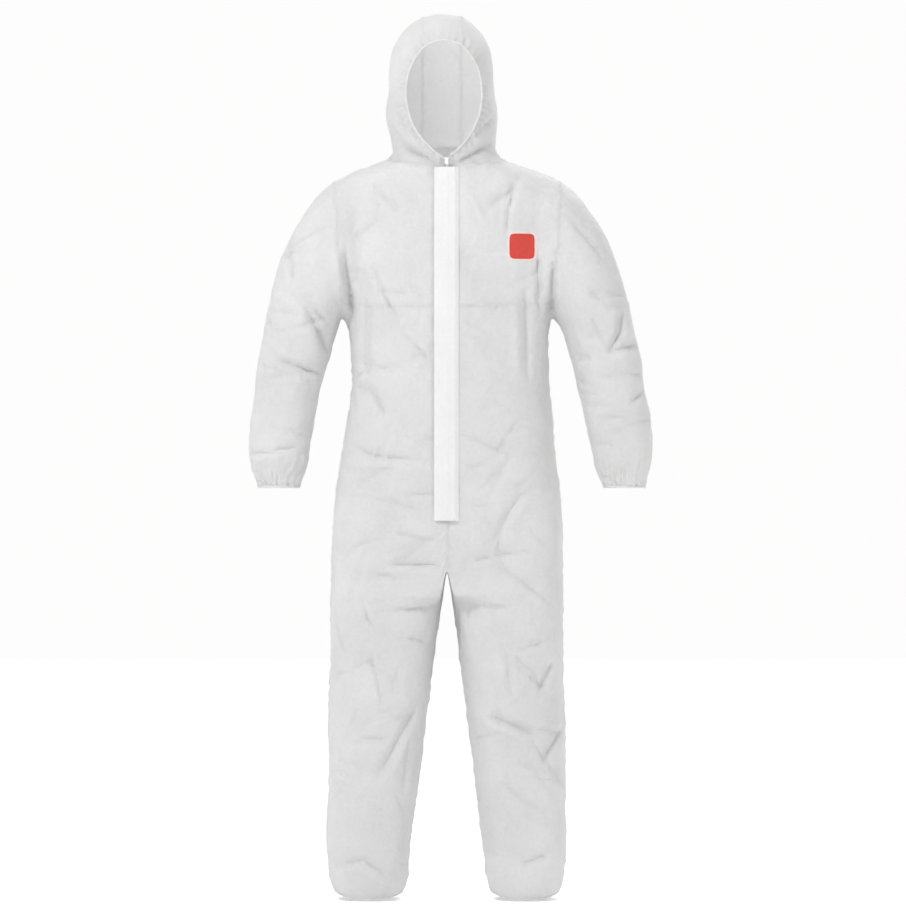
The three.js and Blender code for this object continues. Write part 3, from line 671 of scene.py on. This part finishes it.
def rough_out(skin):
    """Presses the main folds and lumps into the joined skin before it moves as cloth."""
    mesh = skin.data
    points, outward = coordinates(mesh), normals(mesh)
    x, y, z = points.T
    loose = 1 - steadiness(points)
    push = np.zeros(len(points))
    for depth, width, *places in (*FRONT_FOLDS, *front_creases()):
        signed, fade = run_distance(x, z, places)
        push += fold_profile(signed, depth * MM, width * MM) * fade * smoothstep(-outward[:, 1], 0.0, 0.5)
    for depth, width, *places in back_folds():
        signed, fade = run_distance(x, z, places)
        push += fold_profile(signed, depth * MM, width * MM) * fade * smoothstep(outward[:, 1], 0.0, 0.5)
    arms_and_legs = np.where((np.abs(x) > 0.23) | (z < 0.62), 1.0, 0.75)
    calm = np.where(z > 1.48, 0.55, 1.0) * arms_and_legs
    push += calm * 4.5 * MM * fractal(points, 0.17, 2, 1)
    push += calm * 1.5 * MM * (creases(points, 0.09, 2) - 0.3)
    waist = np.exp(-(((z - WAIST) / 0.012) ** 2)) * smoothstep(y, -0.02, 0.05) * (np.abs(x) < WAIST_SIDE)
    push -= 5 * MM * waist
    move_to(mesh, points + outward * np.clip(push, -0.016, 0.010)[:, None] * loose[:, None])


def settle(skin):
    """Lets the skin crumple as cloth: it grows a little and can only fold within its own outline."""
    group = skin.vertex_groups.new(name="held")
    points = coordinates(skin.data)
    weights = np.clip(0.46 + 0.54 * steadiness(points), 0, 1)
    for i, weight in enumerate(weights):
        group.add([i], float(weight), "REPLACE")
    cloth = skin.modifiers.new("laminate", "CLOTH")
    s = cloth.settings
    s.quality = 5
    s.mass = 0.12
    s.air_damping = 4
    s.tension_stiffness = 60
    s.compression_stiffness = 60
    s.shear_stiffness = 20
    s.bending_stiffness = 0.6
    s.tension_damping = s.compression_damping = s.shear_damping = 12
    s.bending_damping = 1
    s.shrink_min = s.shrink_max = -0.020
    s.vertex_group_mass = "held"
    s.pin_stiffness = 4
    s.effector_weights.gravity = 0.25
    cloth.collision_settings.use_collision = False
    cloth.point_cache.frame_start, cloth.point_cache.frame_end = 1, SETTLE_FRAMES
    scene = bpy.context.scene
    for frame_number in range(1, SETTLE_FRAMES + 1):
        scene.frame_set(frame_number)
        bpy.context.view_layer.update()
    applied(skin)
    scene.frame_set(1)
    skin.vertex_groups.clear()


def finer(skin):
    """One level of subdivision, which also rounds the cloth between its cells."""
    subdivide = skin.modifiers.new("finer", "SUBSURF")
    subdivide.levels = subdivide.render_levels = 1
    subdivide.boundary_smooth = "ALL"
    return applied(skin)


def seam_tree(mesh):
    """The places along every seam between two panels, and a tree that finds the nearest of them."""
    bm = bmesh.new()
    bm.from_mesh(mesh)
    places = []
    for edge in bm.edges:
        if len({face.material_index for face in edge.link_faces}) == 2:
            places += [edge.verts[0].co.copy(), (edge.verts[0].co + edge.verts[1].co) / 2]
    bm.free()
    tree = KDTree(len(places))
    for i, place in enumerate(places):
        tree.insert(place, i)
    tree.balance()
    return tree


def pressed_folds(points, outward):
    """The crests and valleys of the folds, pressed sharper than the cloth settles by itself."""
    x, z = points[:, 0], points[:, 2]
    push = np.zeros(len(points))
    for facing, folds in ((-1, (*FRONT_FOLDS, *front_creases())), (1, back_folds())):
        turned = smoothstep(facing * outward[:, 1], 0.0, 0.5)
        for depth, width, *places in folds:
            signed, fade = run_distance(x, z, places)
            push += fold_profile(signed, CRISP * depth * MM, 0.36 * width * MM) * fade * turned
    return push


def seam_ridges(mesh, points):
    """Every seam stands up as a narrow ridge, with the cloth puckered and drawn in a little beside it."""
    seams = seam_tree(mesh)
    apart = np.array([seams.find(p)[2] for p in points])
    pucker = fractal(points, 0.014, 2, 8)
    ridge = np.exp(-((apart / SEAM_RIDGE) ** 2)) * 1.3 * MM
    beside = np.exp(-((apart / SEAM_PUCKER) ** 2)) * (1.7 * MM * pucker - 0.4 * MM)
    return ridge + beside


def end_gathers(points, low, inner, here, count, reach, deep):
    """Gathers running up from a cuff or a hem, count of them round its middle at inner."""
    x, y, z = points.T
    around = np.arctan2(y, np.abs(x) - inner)
    wander = 1.4 * fractal(points, 0.05, 2, count)
    fade = np.exp(-(((z - low) / reach) ** 2))
    return here * (z - low < 0.12) * fade * deep * np.cos(count * around + 3 * wander)


def face_gathers(points):
    """Gathers that fan out from the elastic round the face."""
    x, y, z = points.T
    spread = np.sqrt(((points[:, None, (0, 2)] - OUTLINE[None, ::4, :]) ** 2).sum(axis=2).min(axis=1))
    around = np.arctan2(z - FACE_MIDDLE.z, x - FACE_MIDDLE.x)
    ruffle = np.cos(FACE_GATHERS * around + 2.5 * fractal(points, 0.03, 2, 21))
    return np.exp(-((spread / 0.020) ** 2)) * (y < 0) * (z > FACE_CHIN - 0.01) * 2.0 * MM * ruffle


def waist_gathers(points):
    """Upright gathers above and below the elastic at the back of the waist."""
    x, y, z = points.T
    near = np.exp(-(((z - WAIST) / 0.030) ** 2)) * smoothstep(y, 0.0, 0.06) * (np.abs(x) < WAIST_SIDE)
    return near * 2.6 * MM * np.cos(2 * math.pi * x / WAIST_GATHER + 3 * fractal(points, 0.05, 2, 31))


def drawn_points(points, places):
    """Draws the crotch and underarms up to sharp points, and lets the hems hang lower in the middle."""
    x, z = points[:, 0], points[:, 2]
    pulled = np.clip((CROTCH_CALM - z) / (CROTCH_CALM - CROTCH_ARCH), 0, 1.25)
    places[:, 2] += CROTCH_LIFT * pulled * np.exp(-((x / 0.0085) ** 2)) * (z > CROTCH_ARCH - 0.05)
    beside_arm = np.exp(-(((np.abs(x) - ARMPIT.x) / 0.008) ** 2))
    places[:, 2] += UNDERARM_LIFT * beside_arm * smoothstep(-np.abs(z - ARMPIT.z), -0.05, 0.0)
    off_middle = np.clip(np.abs(np.abs(x) - HEM_LOWEST) / 0.072, 0, 1.1)
    places[:, 2] += HEM_DROOP * off_middle**3 * np.exp(-np.clip(z - HEM, 0, 1) / 0.03)
    return places


def wrinkle(skin):
    """The fine work: gathers at every elastic, puckers along the seams and the laminate's crushed grain."""
    mesh = skin.data
    points, outward = coordinates(mesh), normals(mesh)
    x, z = points[:, 0], points[:, 2]
    push = 0.5 * MM * (creases(points, 0.026, 5) - 0.3) + 0.55 * MM * fractal(points, 0.035, 3, 6)
    push += pressed_folds(points, outward)
    push += seam_ridges(mesh, points)
    push += end_gathers(points, HEM, HEM_MIDDLE, z < 0.2, 34, 0.025, 0.8 * MM)
    push += end_gathers(points, CUFF, CUFF_MIDDLE, np.abs(x) > SLEEVE_INNER, 24, 0.055, 2.2 * MM)
    push += face_gathers(points)
    push += waist_gathers(points)
    move_to(mesh, drawn_points(points, points + outward * push[:, None]))


# ---------------------------------------------------------------- materials


def material(name):
    """A new material, its node tree and its shader."""
    made = bpy.data.materials.new(name)
    made.use_nodes = True
    return made, made.node_tree, made.node_tree.nodes["Principled BSDF"]


def ramp(tree, value, low, high):
    """A colour that runs from low to high as a value runs from 0.35 to 0.65."""
    made = node(tree, "ShaderNodeValToRGB", {"Fac": value})
    for element, at, colour in zip(made.color_ramp.elements, (0.35, 0.65), (low, high)):
        element.position = at
        element.color = linear(colour)
    return made.outputs["Color"]


def bumped(tree, shader, *layers):
    """Stacks height textures, each with how deep it is in metres, into the shader's normal."""
    below = None
    for height, deep in layers:
        inputs = {"Height": height, "Distance": deep, "Strength": 1.0}
        if below:
            inputs["Normal"] = below
        below = node(tree, "ShaderNodeBump", inputs).outputs["Normal"]
    tree.links.new(below, shader.inputs["Normal"])


def laminate(name, light, shade, crumple, through):
    """Microporous film on nonwoven: a matt white with a faint sheen, broken up by crushed creases."""
    made, tree, shader = material(name)
    place = node(tree, "ShaderNodeTexCoord").outputs["Object"]
    # Broad, hardly visible patches where the film lies tighter on the nonwoven.
    patches = node(tree, "ShaderNodeTexNoise", {"Vector": place, "Scale": 9, "Detail": 5, "Roughness": 0.6})
    # Creases of crushed film, with crisp borders between facets about 30 mm across, and finer ones in them.
    broad = node(tree, "ShaderNodeTexNoise", {"Vector": place, "Scale": 24, "Detail": 6, "Roughness": 0.55},
                 noise_type="RIDGED_MULTIFRACTAL")
    fine = node(tree, "ShaderNodeTexNoise", {"Vector": place, "Scale": 150, "Detail": 6, "Roughness": 0.65})
    # The colour mottles with both the patches and the grain of the fibres.
    mottle = node(tree, "ShaderNodeMath", {0: patches.outputs["Fac"], 1: fine.outputs["Fac"]},
                  operation="ADD")
    halved = node(tree, "ShaderNodeMath", {0: mottle.outputs["Value"], 1: 0.5}, operation="MULTIPLY")
    tree.links.new(ramp(tree, halved.outputs["Value"], shade, light), shader.inputs["Base Color"])
    # The weld points of the nonwoven, drawn 5 mm apart so that they still show from a few metres away.
    welds = node(tree, "ShaderNodeTexVoronoi", {"Vector": place, "Scale": 200, "Randomness": 0.4})
    bumped(tree, shader, (welds.outputs["Distance"], 0.12 * MM), (fine.outputs["Fac"], 1.9 * MM),
           (broad.outputs["Fac"], crumple))
    # The film glints a little where it is stretched over a crease.
    gloss = node(tree, "ShaderNodeMapRange", {"Value": fine.outputs["Fac"], "To Min": 0.55, "To Max": 0.8})
    tree.links.new(gloss.outputs["Result"], shader.inputs["Roughness"])
    shader.inputs["Specular IOR Level"].default_value = 0.32
    shader.inputs["Sheen Weight"].default_value = 0.12
    # Some light comes through the thin cloth, which brightens the inside of the hood.
    glow = node(tree, "ShaderNodeBsdfTranslucent", {"Color": linear(light)})
    sides = {"Fac": through, 1: shader.outputs["BSDF"], 2: glow.outputs["BSDF"]}
    both = node(tree, "ShaderNodeMixShader", sides)
    tree.links.new(both.outputs["Shader"], tree.nodes["Material Output"].inputs["Surface"])
    return made


def woven(name, light, shade, pitch):
    """Narrow woven tape or covered elastic: ribs along and across it."""
    made, tree, shader = material(name)
    place = node(tree, "ShaderNodeTexCoord").outputs["Object"]
    # Weft ribs every pitch; this pitch is drawn twice as coarse as the real one so that it shows.
    ribs = node(tree, "ShaderNodeTexWave", {"Vector": place, "Scale": 0.32 / pitch, "Distortion": 0.6},
                wave_type="BANDS", bands_direction="Z")
    # Uneven yarn.
    yarn = node(tree, "ShaderNodeTexNoise", {"Vector": place, "Scale": 400, "Detail": 4})
    tree.links.new(ramp(tree, yarn.outputs["Fac"], shade, light), shader.inputs["Base Color"])
    bumped(tree, shader, (yarn.outputs["Fac"], 0.15 * MM), (ribs.outputs["Fac"], 0.25 * MM))
    shader.inputs["Roughness"].default_value = 0.85
    shader.inputs["Sheen Weight"].default_value = 0.2
    return made


def smooth_plastic(name, light, shade, roughness, metallic=0.0):
    """Moulded nylon or enamelled metal: nearly even, with handling marks in its gloss."""
    made, tree, shader = material(name)
    place = node(tree, "ShaderNodeTexCoord").outputs["Object"]
    # Clouding in the moulding or the enamel.
    cloud = node(tree, "ShaderNodeTexNoise", {"Vector": place, "Scale": 180, "Detail": 3})
    tree.links.new(ramp(tree, cloud.outputs["Fac"], shade, light), shader.inputs["Base Color"])
    marks = node(tree, "ShaderNodeTexNoise", {"Vector": place, "Scale": 900, "Detail": 2})
    gloss = node(tree, "ShaderNodeMapRange",
                 {"Value": marks.outputs["Fac"], "To Min": roughness - 0.08, "To Max": roughness + 0.1})
    tree.links.new(gloss.outputs["Result"], shader.inputs["Roughness"])
    bumped(tree, shader, (marks.outputs["Fac"], 0.04 * MM))
    shader.inputs["Metallic"].default_value = metallic
    return made


# The last number is the share of the light that the cloth lets through. The hood lets most of it in.
CLOTH = laminate("crushed white film laminate", "#efefef", "#dfdfdf", 2.8 * MM, 0.46)
HOOD_CLOTH = laminate("crushed white film laminate of the hood", "#efefef", "#dfdfdf", 2.4 * MM, 0.6)
FLAP_CLOTH = laminate("white film laminate, pressed flat", "#f3f3f3", "#ebebeb", 1.0 * MM, 0.3)
CASING_CLOTH = laminate("gathered white film laminate", "#ededed", "#dfdfdf", 1.4 * MM, 0.4)
ELASTIC = woven("covered white elastic", "#f0f0ee", "#e4e4e2", 1.6 * MM)
TAPE = woven("woven white polyester tape", "#f2f2f2", "#e8e8e8", 1.0 * MM)
COIL = smooth_plastic("white nylon coil", "#f0f0f0", "#e6e6e6", 0.35)
ENAMEL = smooth_plastic("white enamelled zinc", "#ececec", "#dedede", 0.3)
THREAD = woven("white sewing thread", "#f2f2f2", "#dcdcdc", 0.5 * MM)
PATCH_RED = laminate("red printed film", "#d0473c", "#c5413a", 0.3 * MM, 0.1)
PATCH_EDGE = laminate("pale edge of the printed film", "#f1dcd8", "#ecd4d0", 0.3 * MM, 0.1)
LABEL = woven("satin label tape", "#fbfbfb", "#f2f2f2", 0.8 * MM)

# ---------------------------------------------------------------- pieces


def thickened(obj, thick):
    """Gives a sheet its thickness, inwards from the face that shows."""
    wall = obj.modifiers.new("thickness", "SOLIDIFY")
    wall.thickness = thick
    wall.offset = -1
    applied(obj)
    obj.data.set_sharp_from_angle(angle=math.radians(50))
    return obj


def from_faces(skin, name, keep):
    """A piece made of the faces of the skin that keep picks."""
    bm = bmesh.new()
    bm.from_mesh(skin.data)
    bmesh.ops.delete(bm, geom=[f for f in bm.faces if not keep(f)], context="FACES")
    for face in bm.faces:
        face.material_index = 0
        face.smooth = True
    return new_mesh_object(name, bm)


def leg_blend(obj):
    """Bakes a leg piece's placement into its mesh."""
    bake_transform(obj)


def sleeve_blend(obj):
    """Bakes a sleeve piece's placement into its mesh."""
    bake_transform(obj)


def hood_blend(obj):
    """Bakes a hood piece's placement into its mesh."""
    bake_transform(obj)


# Each panel: the nodes it stands for, and its pattern piece's width, length and area in metres.
PANEL_PIECES = {
    "upper_front_right": (("upper_front_right",), (0.30, 0.36), 0.070),
    "upper_front_left": (("upper_front_left",), (0.30, 0.36), 0.070),
    "front_right": (("lower_front_right", "leg_right_front"), (0.40, 1.25), 0.36),
    "front_left": (("lower_front_left", "leg_left_front"), (0.40, 1.25), 0.36),
    "back_right": (("back_right", "leg_right_back"), (0.42, 1.55), 0.46),
    "back_left": (("back_left", "leg_left_back"), (0.42, 1.55), 0.46),
    "hood_centre": (("hood_centre_panel",), (0.09, 0.45), 0.034),
    "hood_right": (("hood_right_panel",), (0.28, 0.36), 0.070),
    "hood_left": (("hood_left_panel",), (0.28, 0.36), 0.070),
    "sleeve_right": (("sleeve_right_panel",), (0.52, 0.62), 0.24),
    "sleeve_left": (("sleeve_left_panel",), (0.52, 0.62), 0.24),
}


def sewn_on(cloth, name):
    """Parents an upper front panel, or its thread, to the torso body; any other panel only has its placement
    baked into its mesh.
    """
    if name.startswith("upper"):
        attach(cloth, "torso")
    elif name.startswith("sleeve"):
        sleeve_blend(cloth)
    elif name.startswith("hood"):
        hood_blend(cloth)
    else:
        leg_blend(cloth)


def fabric_panels(skin):
    """Every pattern piece of the suit as a sheet of its own."""
    for index, name in enumerate(PANELS):
        stands_for, flat, area = PANEL_PIECES[name]
        piece = from_faces(skin, "panel_" + name, lambda f, i=index: f.material_index == i)
        thickened(piece, 0.6 * MM)
        piece.data.materials.append(HOOD_CLOTH if name.startswith("hood") else CLOTH)
        sewn_on(piece, name)
        sewn_on(stitches(skin, index), name)
        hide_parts(*stands_for)


def rim_run(skin, pick):
    """The places along an open or closed edge of the skin, in order; pick says which boundary edges."""
    bm = bmesh.new()
    bm.from_mesh(skin.data)
    rim = [e for e in bm.edges if e.is_boundary and pick(e)]
    edges = set(rim)
    ends = [v for e in rim for v in e.verts if sum(1 for n in v.link_edges if n in edges) == 1]
    current = ends[0] if ends else rim[0].verts[0]
    run = [current.co.copy()]
    while True:
        onward = sorted((e for e in current.link_edges if e in edges), key=lambda e: e.index)
        if not onward:
            break
        edges.discard(onward[0])
        current = onward[0].other_vert(current)
        run.append(current.co.copy())
    bm.free()
    return evened(run, closed=not ends)


def evened(run, closed):
    """The same run with its small jogs rounded off; an open run keeps its two ends."""
    for _ in range(6):
        before = run[-1:] + run[:-1]
        after = run[1:] + run[:1]
        eased_run = [(a + 2 * b + c) / 4 for a, b, c in zip(before, run, after)]
        run = eased_run if closed else [run[0], *eased_run[1:-1], run[-1]]
    return run


def casing(name, run, radius, gathers, closed):
    """A rolled, gathered hem with elastic in it, along an edge of the cloth."""
    curve = bpy.data.curves.new(name, "CURVE")
    curve.dimensions = "3D"
    curve.bevel_depth = radius
    curve.bevel_resolution = 3
    line = curve.splines.new("POLY")
    line.points.add(len(run) - 1 - closed)
    line.use_cyclic_u = closed
    for i, (point, place) in enumerate(zip(line.points, run)):
        point.co = (*place, 1)
        gather = 0.22 * math.cos(2 * math.pi * gathers * i / len(run))
        point.radius = 1 + gather + 0.1 * noise.noise(place * 150)
    drawn = bpy.data.objects.new(name + "_line", curve)
    bpy.context.scene.collection.objects.link(drawn)
    bpy.context.view_layer.update()
    mesh = bpy.data.meshes.new_from_object(drawn.evaluated_get(bpy.context.evaluated_depsgraph_get()))
    bpy.data.objects.remove(drawn)
    bpy.data.curves.remove(curve)
    mesh.shade_smooth()
    made = bpy.data.objects.new(name, mesh)
    bpy.context.scene.collection.objects.link(made)
    made.data.materials.clear()
    made.data.materials.append(CASING_CLOTH)
    return made


def casings(skin):
    """The gathered edges: round the face, at both cuffs and at both ankles."""

    def at_face(e):
        p = (e.verts[0].co + e.verts[1].co) / 2
        at_zip = abs(p.x) < 1.3 * ZIP_HALF_GAP and p.z < FACE_CHIN + 0.01
        return p.z > FACE_CHIN - 0.004 and p.y < 0 and not at_zip

    face = casing("face_casing", rim_run(skin, at_face), 2.4 * MM, 70, False)
    hood_blend(face)
    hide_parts("face_elastic")
    for side, word in SIDES:

        def at_cuff(e, s=side):
            return e.verts[0].co.x * s > SLEEVE_INNER and CUFF - 0.03 < e.verts[0].co.z < CUFF + 0.03

        def at_ankle(e, s=side):
            return e.verts[0].co.x * s > 0 and abs(e.verts[0].co.z - HEM) < 0.03

        cuff = casing(f"cuff_{word}_casing", rim_run(skin, at_cuff), 2.8 * MM, 22, True)
        sleeve_blend(cuff)
        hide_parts(f"cuff_{word}_elastic")
        ankle = casing(f"ankle_{word}_casing", rim_run(skin, at_ankle), 1.8 * MM, 32, True)
        leg_blend(ankle)
        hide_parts(f"ankle_{word}_elastic")


STRIP_HALF_WIDTH = 6.5 * MM


def waist_elastic(skin):
    """The elastic strip glued inside the back of the waist."""

    def by_the_waist(f):
        middle = f.calc_center_median()
        return abs(middle.z - WAIST) < STRIP_HALF_WIDTH and abs(middle.x) < WAIST_REACH

    strip = from_faces(skin, "waist_elastic_strip",
                       lambda f: PANELS[f.material_index].startswith("back") and by_the_waist(f))
    move_to(strip.data, coordinates(strip.data) - 1.2 * MM * normals(strip.data))
    thickened(strip, 0.9 * MM)
    strip.data.materials.append(ELASTIC)
    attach(strip, "torso")
    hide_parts("waist_elastic")


def on_zip(x, out, along):
    """A place by the zip: across, out from the flap's hinge line, and along it from the middle."""
    front = ZIP_DOWN.cross(Vector((1, 0, 0))).normalized()
    front = front if front.y < 0 else -front
    return Vector((x, FLAP_HINGE.y, FLAP_HINGE.z)) + front * out + ZIP_DOWN * along


def strip_sheet(name, low_x, high_x, reach, cells, shape):
    """A long strip of cloth along the zip; shape gives how far it stands out at (u across, v along)."""
    bm = bmesh.new()
    bmesh.ops.create_grid(bm, x_segments=cells[0], y_segments=cells[1], size=0.5)
    for v in bm.verts:
        u, w = v.co.x + 0.5, v.co.y + 0.5
        v.co = on_zip(low_x + u * (high_x - low_x), shape(u, w), (0.5 - w) * 2 * reach)
    bmesh.ops.recalc_face_normals(bm, faces=bm.faces[:])
    if bm.faces[:][0].normal.y > 0:
        bmesh.ops.reverse_faces(bm, faces=bm.faces[:])
    return new_mesh_object(name, bm)


def storm_flap():
    """The flap over the zip: sewn along one edge, free along the other, raised a little by the coil."""
    reach = (FLAP_HIGH.z - FLAP_LOW.z) / 2 / abs(ZIP_DOWN.z)
    wide = FLAP_HIGH.x - FLAP_LOW.x
    sewn = 4.4 * MM

    def stand(u, w):
        across = FLAP_LOW.x + u * wide
        ridge = 0.7 * MM * math.exp(-((across / (4 * MM)) ** 2))
        wave = 0.8 * MM * noise.noise(Vector((u * 1.5, w * 16, 4.0)))
        wave += 0.5 * MM * noise.noise(Vector((u, w * 55, 9.0)))
        lip = -0.9 * MM * math.exp(-(((u - 0.10) / 0.03) ** 2))
        drop = sewn * float(smoothstep(across, FLAP_HIGH.x - 9 * MM, FLAP_HIGH.x + 1 * MM))
        return 0.6 * MM + ridge + wave * (1 - u * 0.6) + lip - drop

    flap = strip_sheet("storm_flap_cloth", FLAP_LOW.x, FLAP_HIGH.x + 1.5 * MM, reach, (26, 260), stand)
    thickened(flap, 1.0 * MM)
    flap.data.materials.append(FLAP_CLOTH)
    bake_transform(flap)
    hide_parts("storm_flap")


COIL_PITCH = 1.6 * MM
COIL_RADIUS = 0.55 * MM


def on_zip_line(low, high):
    """Where a box lies on the zip: its middle and half its length along it, and how far it stands out."""
    middle = (high.z + low.z) / 2
    shift = (FLAP_HINGE.z - middle) / abs(ZIP_DOWN.z)
    reach = (high.z - low.z) / 2 / abs(ZIP_DOWN.z)
    depth = (low.y + high.y) / 2 - on_zip(0, 0, shift).y
    return shift, reach, -depth


def zip_tape(side, word):
    """One woven tape of the zip, hardly wavering along its length."""
    low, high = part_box("zip_tape_" + word)
    shift, reach, out = on_zip_line(low, high)
    bm = bmesh.new()
    bmesh.ops.create_grid(bm, x_segments=6, y_segments=180, size=0.5)
    for v in bm.verts:
        u, w = v.co.x + 0.5, v.co.y + 0.5
        waver = 0.15 * MM * noise.noise(Vector((u * 2, w * 40, side)))
        v.co = on_zip(low.x + u * (high.x - low.x), out + waver, shift + (0.5 - w) * 2 * reach)
    bmesh.ops.recalc_face_normals(bm, faces=bm.faces[:])
    tape = thickened(new_mesh_object(f"zip_tape_{word}_cloth", bm), 0.6 * MM)
    tape.data.materials.append(TAPE)
    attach(tape, "torso")
    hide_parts("zip_tape_" + word)


def zip_coil(word):
    """One row of the zip: the turns of its nylon coil, side by side."""
    low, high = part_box("zip_teeth_" + word)
    shift, reach, out = on_zip_line(low, high)
    count = round(2 * reach / COIL_PITCH)
    turned = Matrix.Rotation(math.radians(90), 4, "Y")
    bm = bmesh.new()
    for i in range(count):
        place = on_zip((low.x + high.x) / 2, out, shift - reach + (i + 0.5) * 2 * reach / count)
        bmesh.ops.create_cone(bm, segments=8, radius1=COIL_RADIUS, radius2=COIL_RADIUS, cap_ends=True,
                              depth=(high.x - low.x), matrix=Matrix.Translation(place) @ turned)
    coil = new_mesh_object(f"zip_coil_{word}", bm)
    coil.data.materials.append(COIL)
    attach(coil, "torso")
    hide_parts("zip_teeth_" + word)


def zip_parts():
    """The tapes and coils, and a finish and eased edges for the hard parts that the frame has."""
    for side, word in SIDES:
        zip_tape(side, word)
        zip_coil(word)
    for name, finish in (("zip_slider", ENAMEL), ("zip_pull", ENAMEL), ("zip_bottom_stop", COIL)):
        part = frame["nodes"][name]
        part.data.materials.clear()
        part.data.materials.append(finish)
        edge = part.modifiers.new("eased_edges", "BEVEL")
        edge.width = 0.15 * MM
        edge.segments = 2
        edge.harden_normals = False


def on_skin(skin_tree, x, z, away):
    """A place on the front of the suit, straight ahead of (x, z)."""
    place, outward, _, _ = skin_tree.ray_cast(Vector((x, -1, z)), Vector((0, 1, 0)))
    return place + outward * away


PATCH_SQUARENESS = 6                   # 2 would be a disc


def rounded(u, v):
    """Squeezes a square grid's coordinates, in -1 to 1, into a square with round corners."""
    reach = max(abs(u), abs(v))
    if reach == 0:
        return u, v
    bent = (abs(u / reach) ** PATCH_SQUARENESS + abs(v / reach) ** PATCH_SQUARENESS) ** (1 / PATCH_SQUARENESS)
    return u / bent, v / bent


def chest_patch(skin_tree):
    """A plain printed square with round corners on the wearer's left chest."""
    low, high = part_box("chest_patch")
    middle = (low + high) / 2
    half = (high.z - low.z) / 2
    for name, size, away, finish in (("edge", 1.0, 0.35, PATCH_EDGE), ("field", 0.90, 0.6, PATCH_RED)):
        bm = bmesh.new()
        bmesh.ops.create_grid(bm, x_segments=26, y_segments=26, size=1)
        for v in bm.verts:
            u, w = rounded(v.co.x, v.co.y)
            v.co = on_skin(skin_tree, middle.x + u * half * size, middle.z + w * half * size, away * MM)
        bmesh.ops.smooth_vert(bm, verts=bm.verts[:], factor=0.5,
                              use_axis_x=False, use_axis_y=True, use_axis_z=False)
        bmesh.ops.recalc_face_normals(bm, faces=bm.faces[:])
        if bm.faces[:][0].normal.y > 0:
            bmesh.ops.reverse_faces(bm, faces=bm.faces[:])
        piece = thickened(new_mesh_object("chest_patch_" + name, bm), 0.25 * MM)
        piece.data.materials.append(finish)
        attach(piece, "torso")
        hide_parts("chest_patch")


def size_label():
    """A small blank satin label inside the back of the neck."""
    low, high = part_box("size_label")
    middle = (low + high) / 2
    bm = bmesh.new()
    bmesh.ops.create_grid(bm, x_segments=24, y_segments=18, size=0.5)
    for v in bm.verts:
        u, w = v.co.x, v.co.y
        curl = (high.y - low.y) * (0.5 - 2 * u * u) + 0.6 * MM * noise.noise(Vector((u * 3, w * 3, 2)))
        v.co = (middle.x + u * (high.x - low.x), low.y + curl * 0.5, middle.z + w * (high.z - low.z))
    label = thickened(new_mesh_object("size_label_satin", bm), 0.3 * MM)
    label.data.materials.append(LABEL)
    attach(label, "torso")
    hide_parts("size_label")


def stitches(skin, index):
    """A row of short stitches on one panel, just inside each of its seams."""
    bm = bmesh.new()
    bm.from_mesh(skin.data)
    out = bmesh.new()
    for edge in bm.edges:
        sides = {f.material_index: f for f in edge.link_faces}
        along = edge.verts[1].co - edge.verts[0].co
        if len(sides) < 2 or index not in sides or along.length < 2 * MM:
            continue
        face = sides[index]
        middle = (edge.verts[0].co + edge.verts[1].co) / 2
        across = along.cross(face.normal).normalized()
        if across.dot(face.calc_center_median() - middle) < 0:
            across = -across
        place = middle + 2.2 * MM * across + 0.2 * MM * face.normal
        turned = along.to_track_quat("Z", "Y").to_matrix().to_4x4()
        bmesh.ops.create_cone(out, segments=6, radius1=0.3 * MM, radius2=0.3 * MM, cap_ends=True,
                              depth=0.62 * along.length, matrix=Matrix.Translation(place) @ turned)
    bm.free()
    thread = new_mesh_object("stitches_" + PANELS[index], out)
    thread.data.materials.append(THREAD)
    return thread


# ---------------------------------------------------------------- the suit


def garment():
    """The whole suit of cloth, from the joined tubes to the sewn panels."""
    skin = joined_skin()
    bm = bmesh.new()
    bm.from_mesh(skin.data)
    for _ in range(3):
        bmesh.ops.smooth_vert(bm, verts=bm.verts[:], factor=0.5,
                              use_axis_x=True, use_axis_y=True, use_axis_z=True)
    cut_seams(bm)
    for face in bm.faces:
        face.material_index = PANELS.index(panel_of(face.calc_center_median()))
    bmesh.ops.recalc_face_normals(bm, faces=bm.faces[:])
    bm.to_mesh(skin.data)
    bm.free()
    for _ in PANELS:
        skin.data.materials.append(None)
    rough_out(skin)
    settle(skin)
    finer(skin)
    wrinkle(skin)
    return skin


studio()
skin = garment()
skin_tree = BVHTree.FromObject(skin, bpy.context.evaluated_depsgraph_get())
fabric_panels(skin)
casings(skin)
waist_elastic(skin)
storm_flap()
zip_parts()
chest_patch(skin_tree)
size_label()
bpy.data.objects.remove(skin)
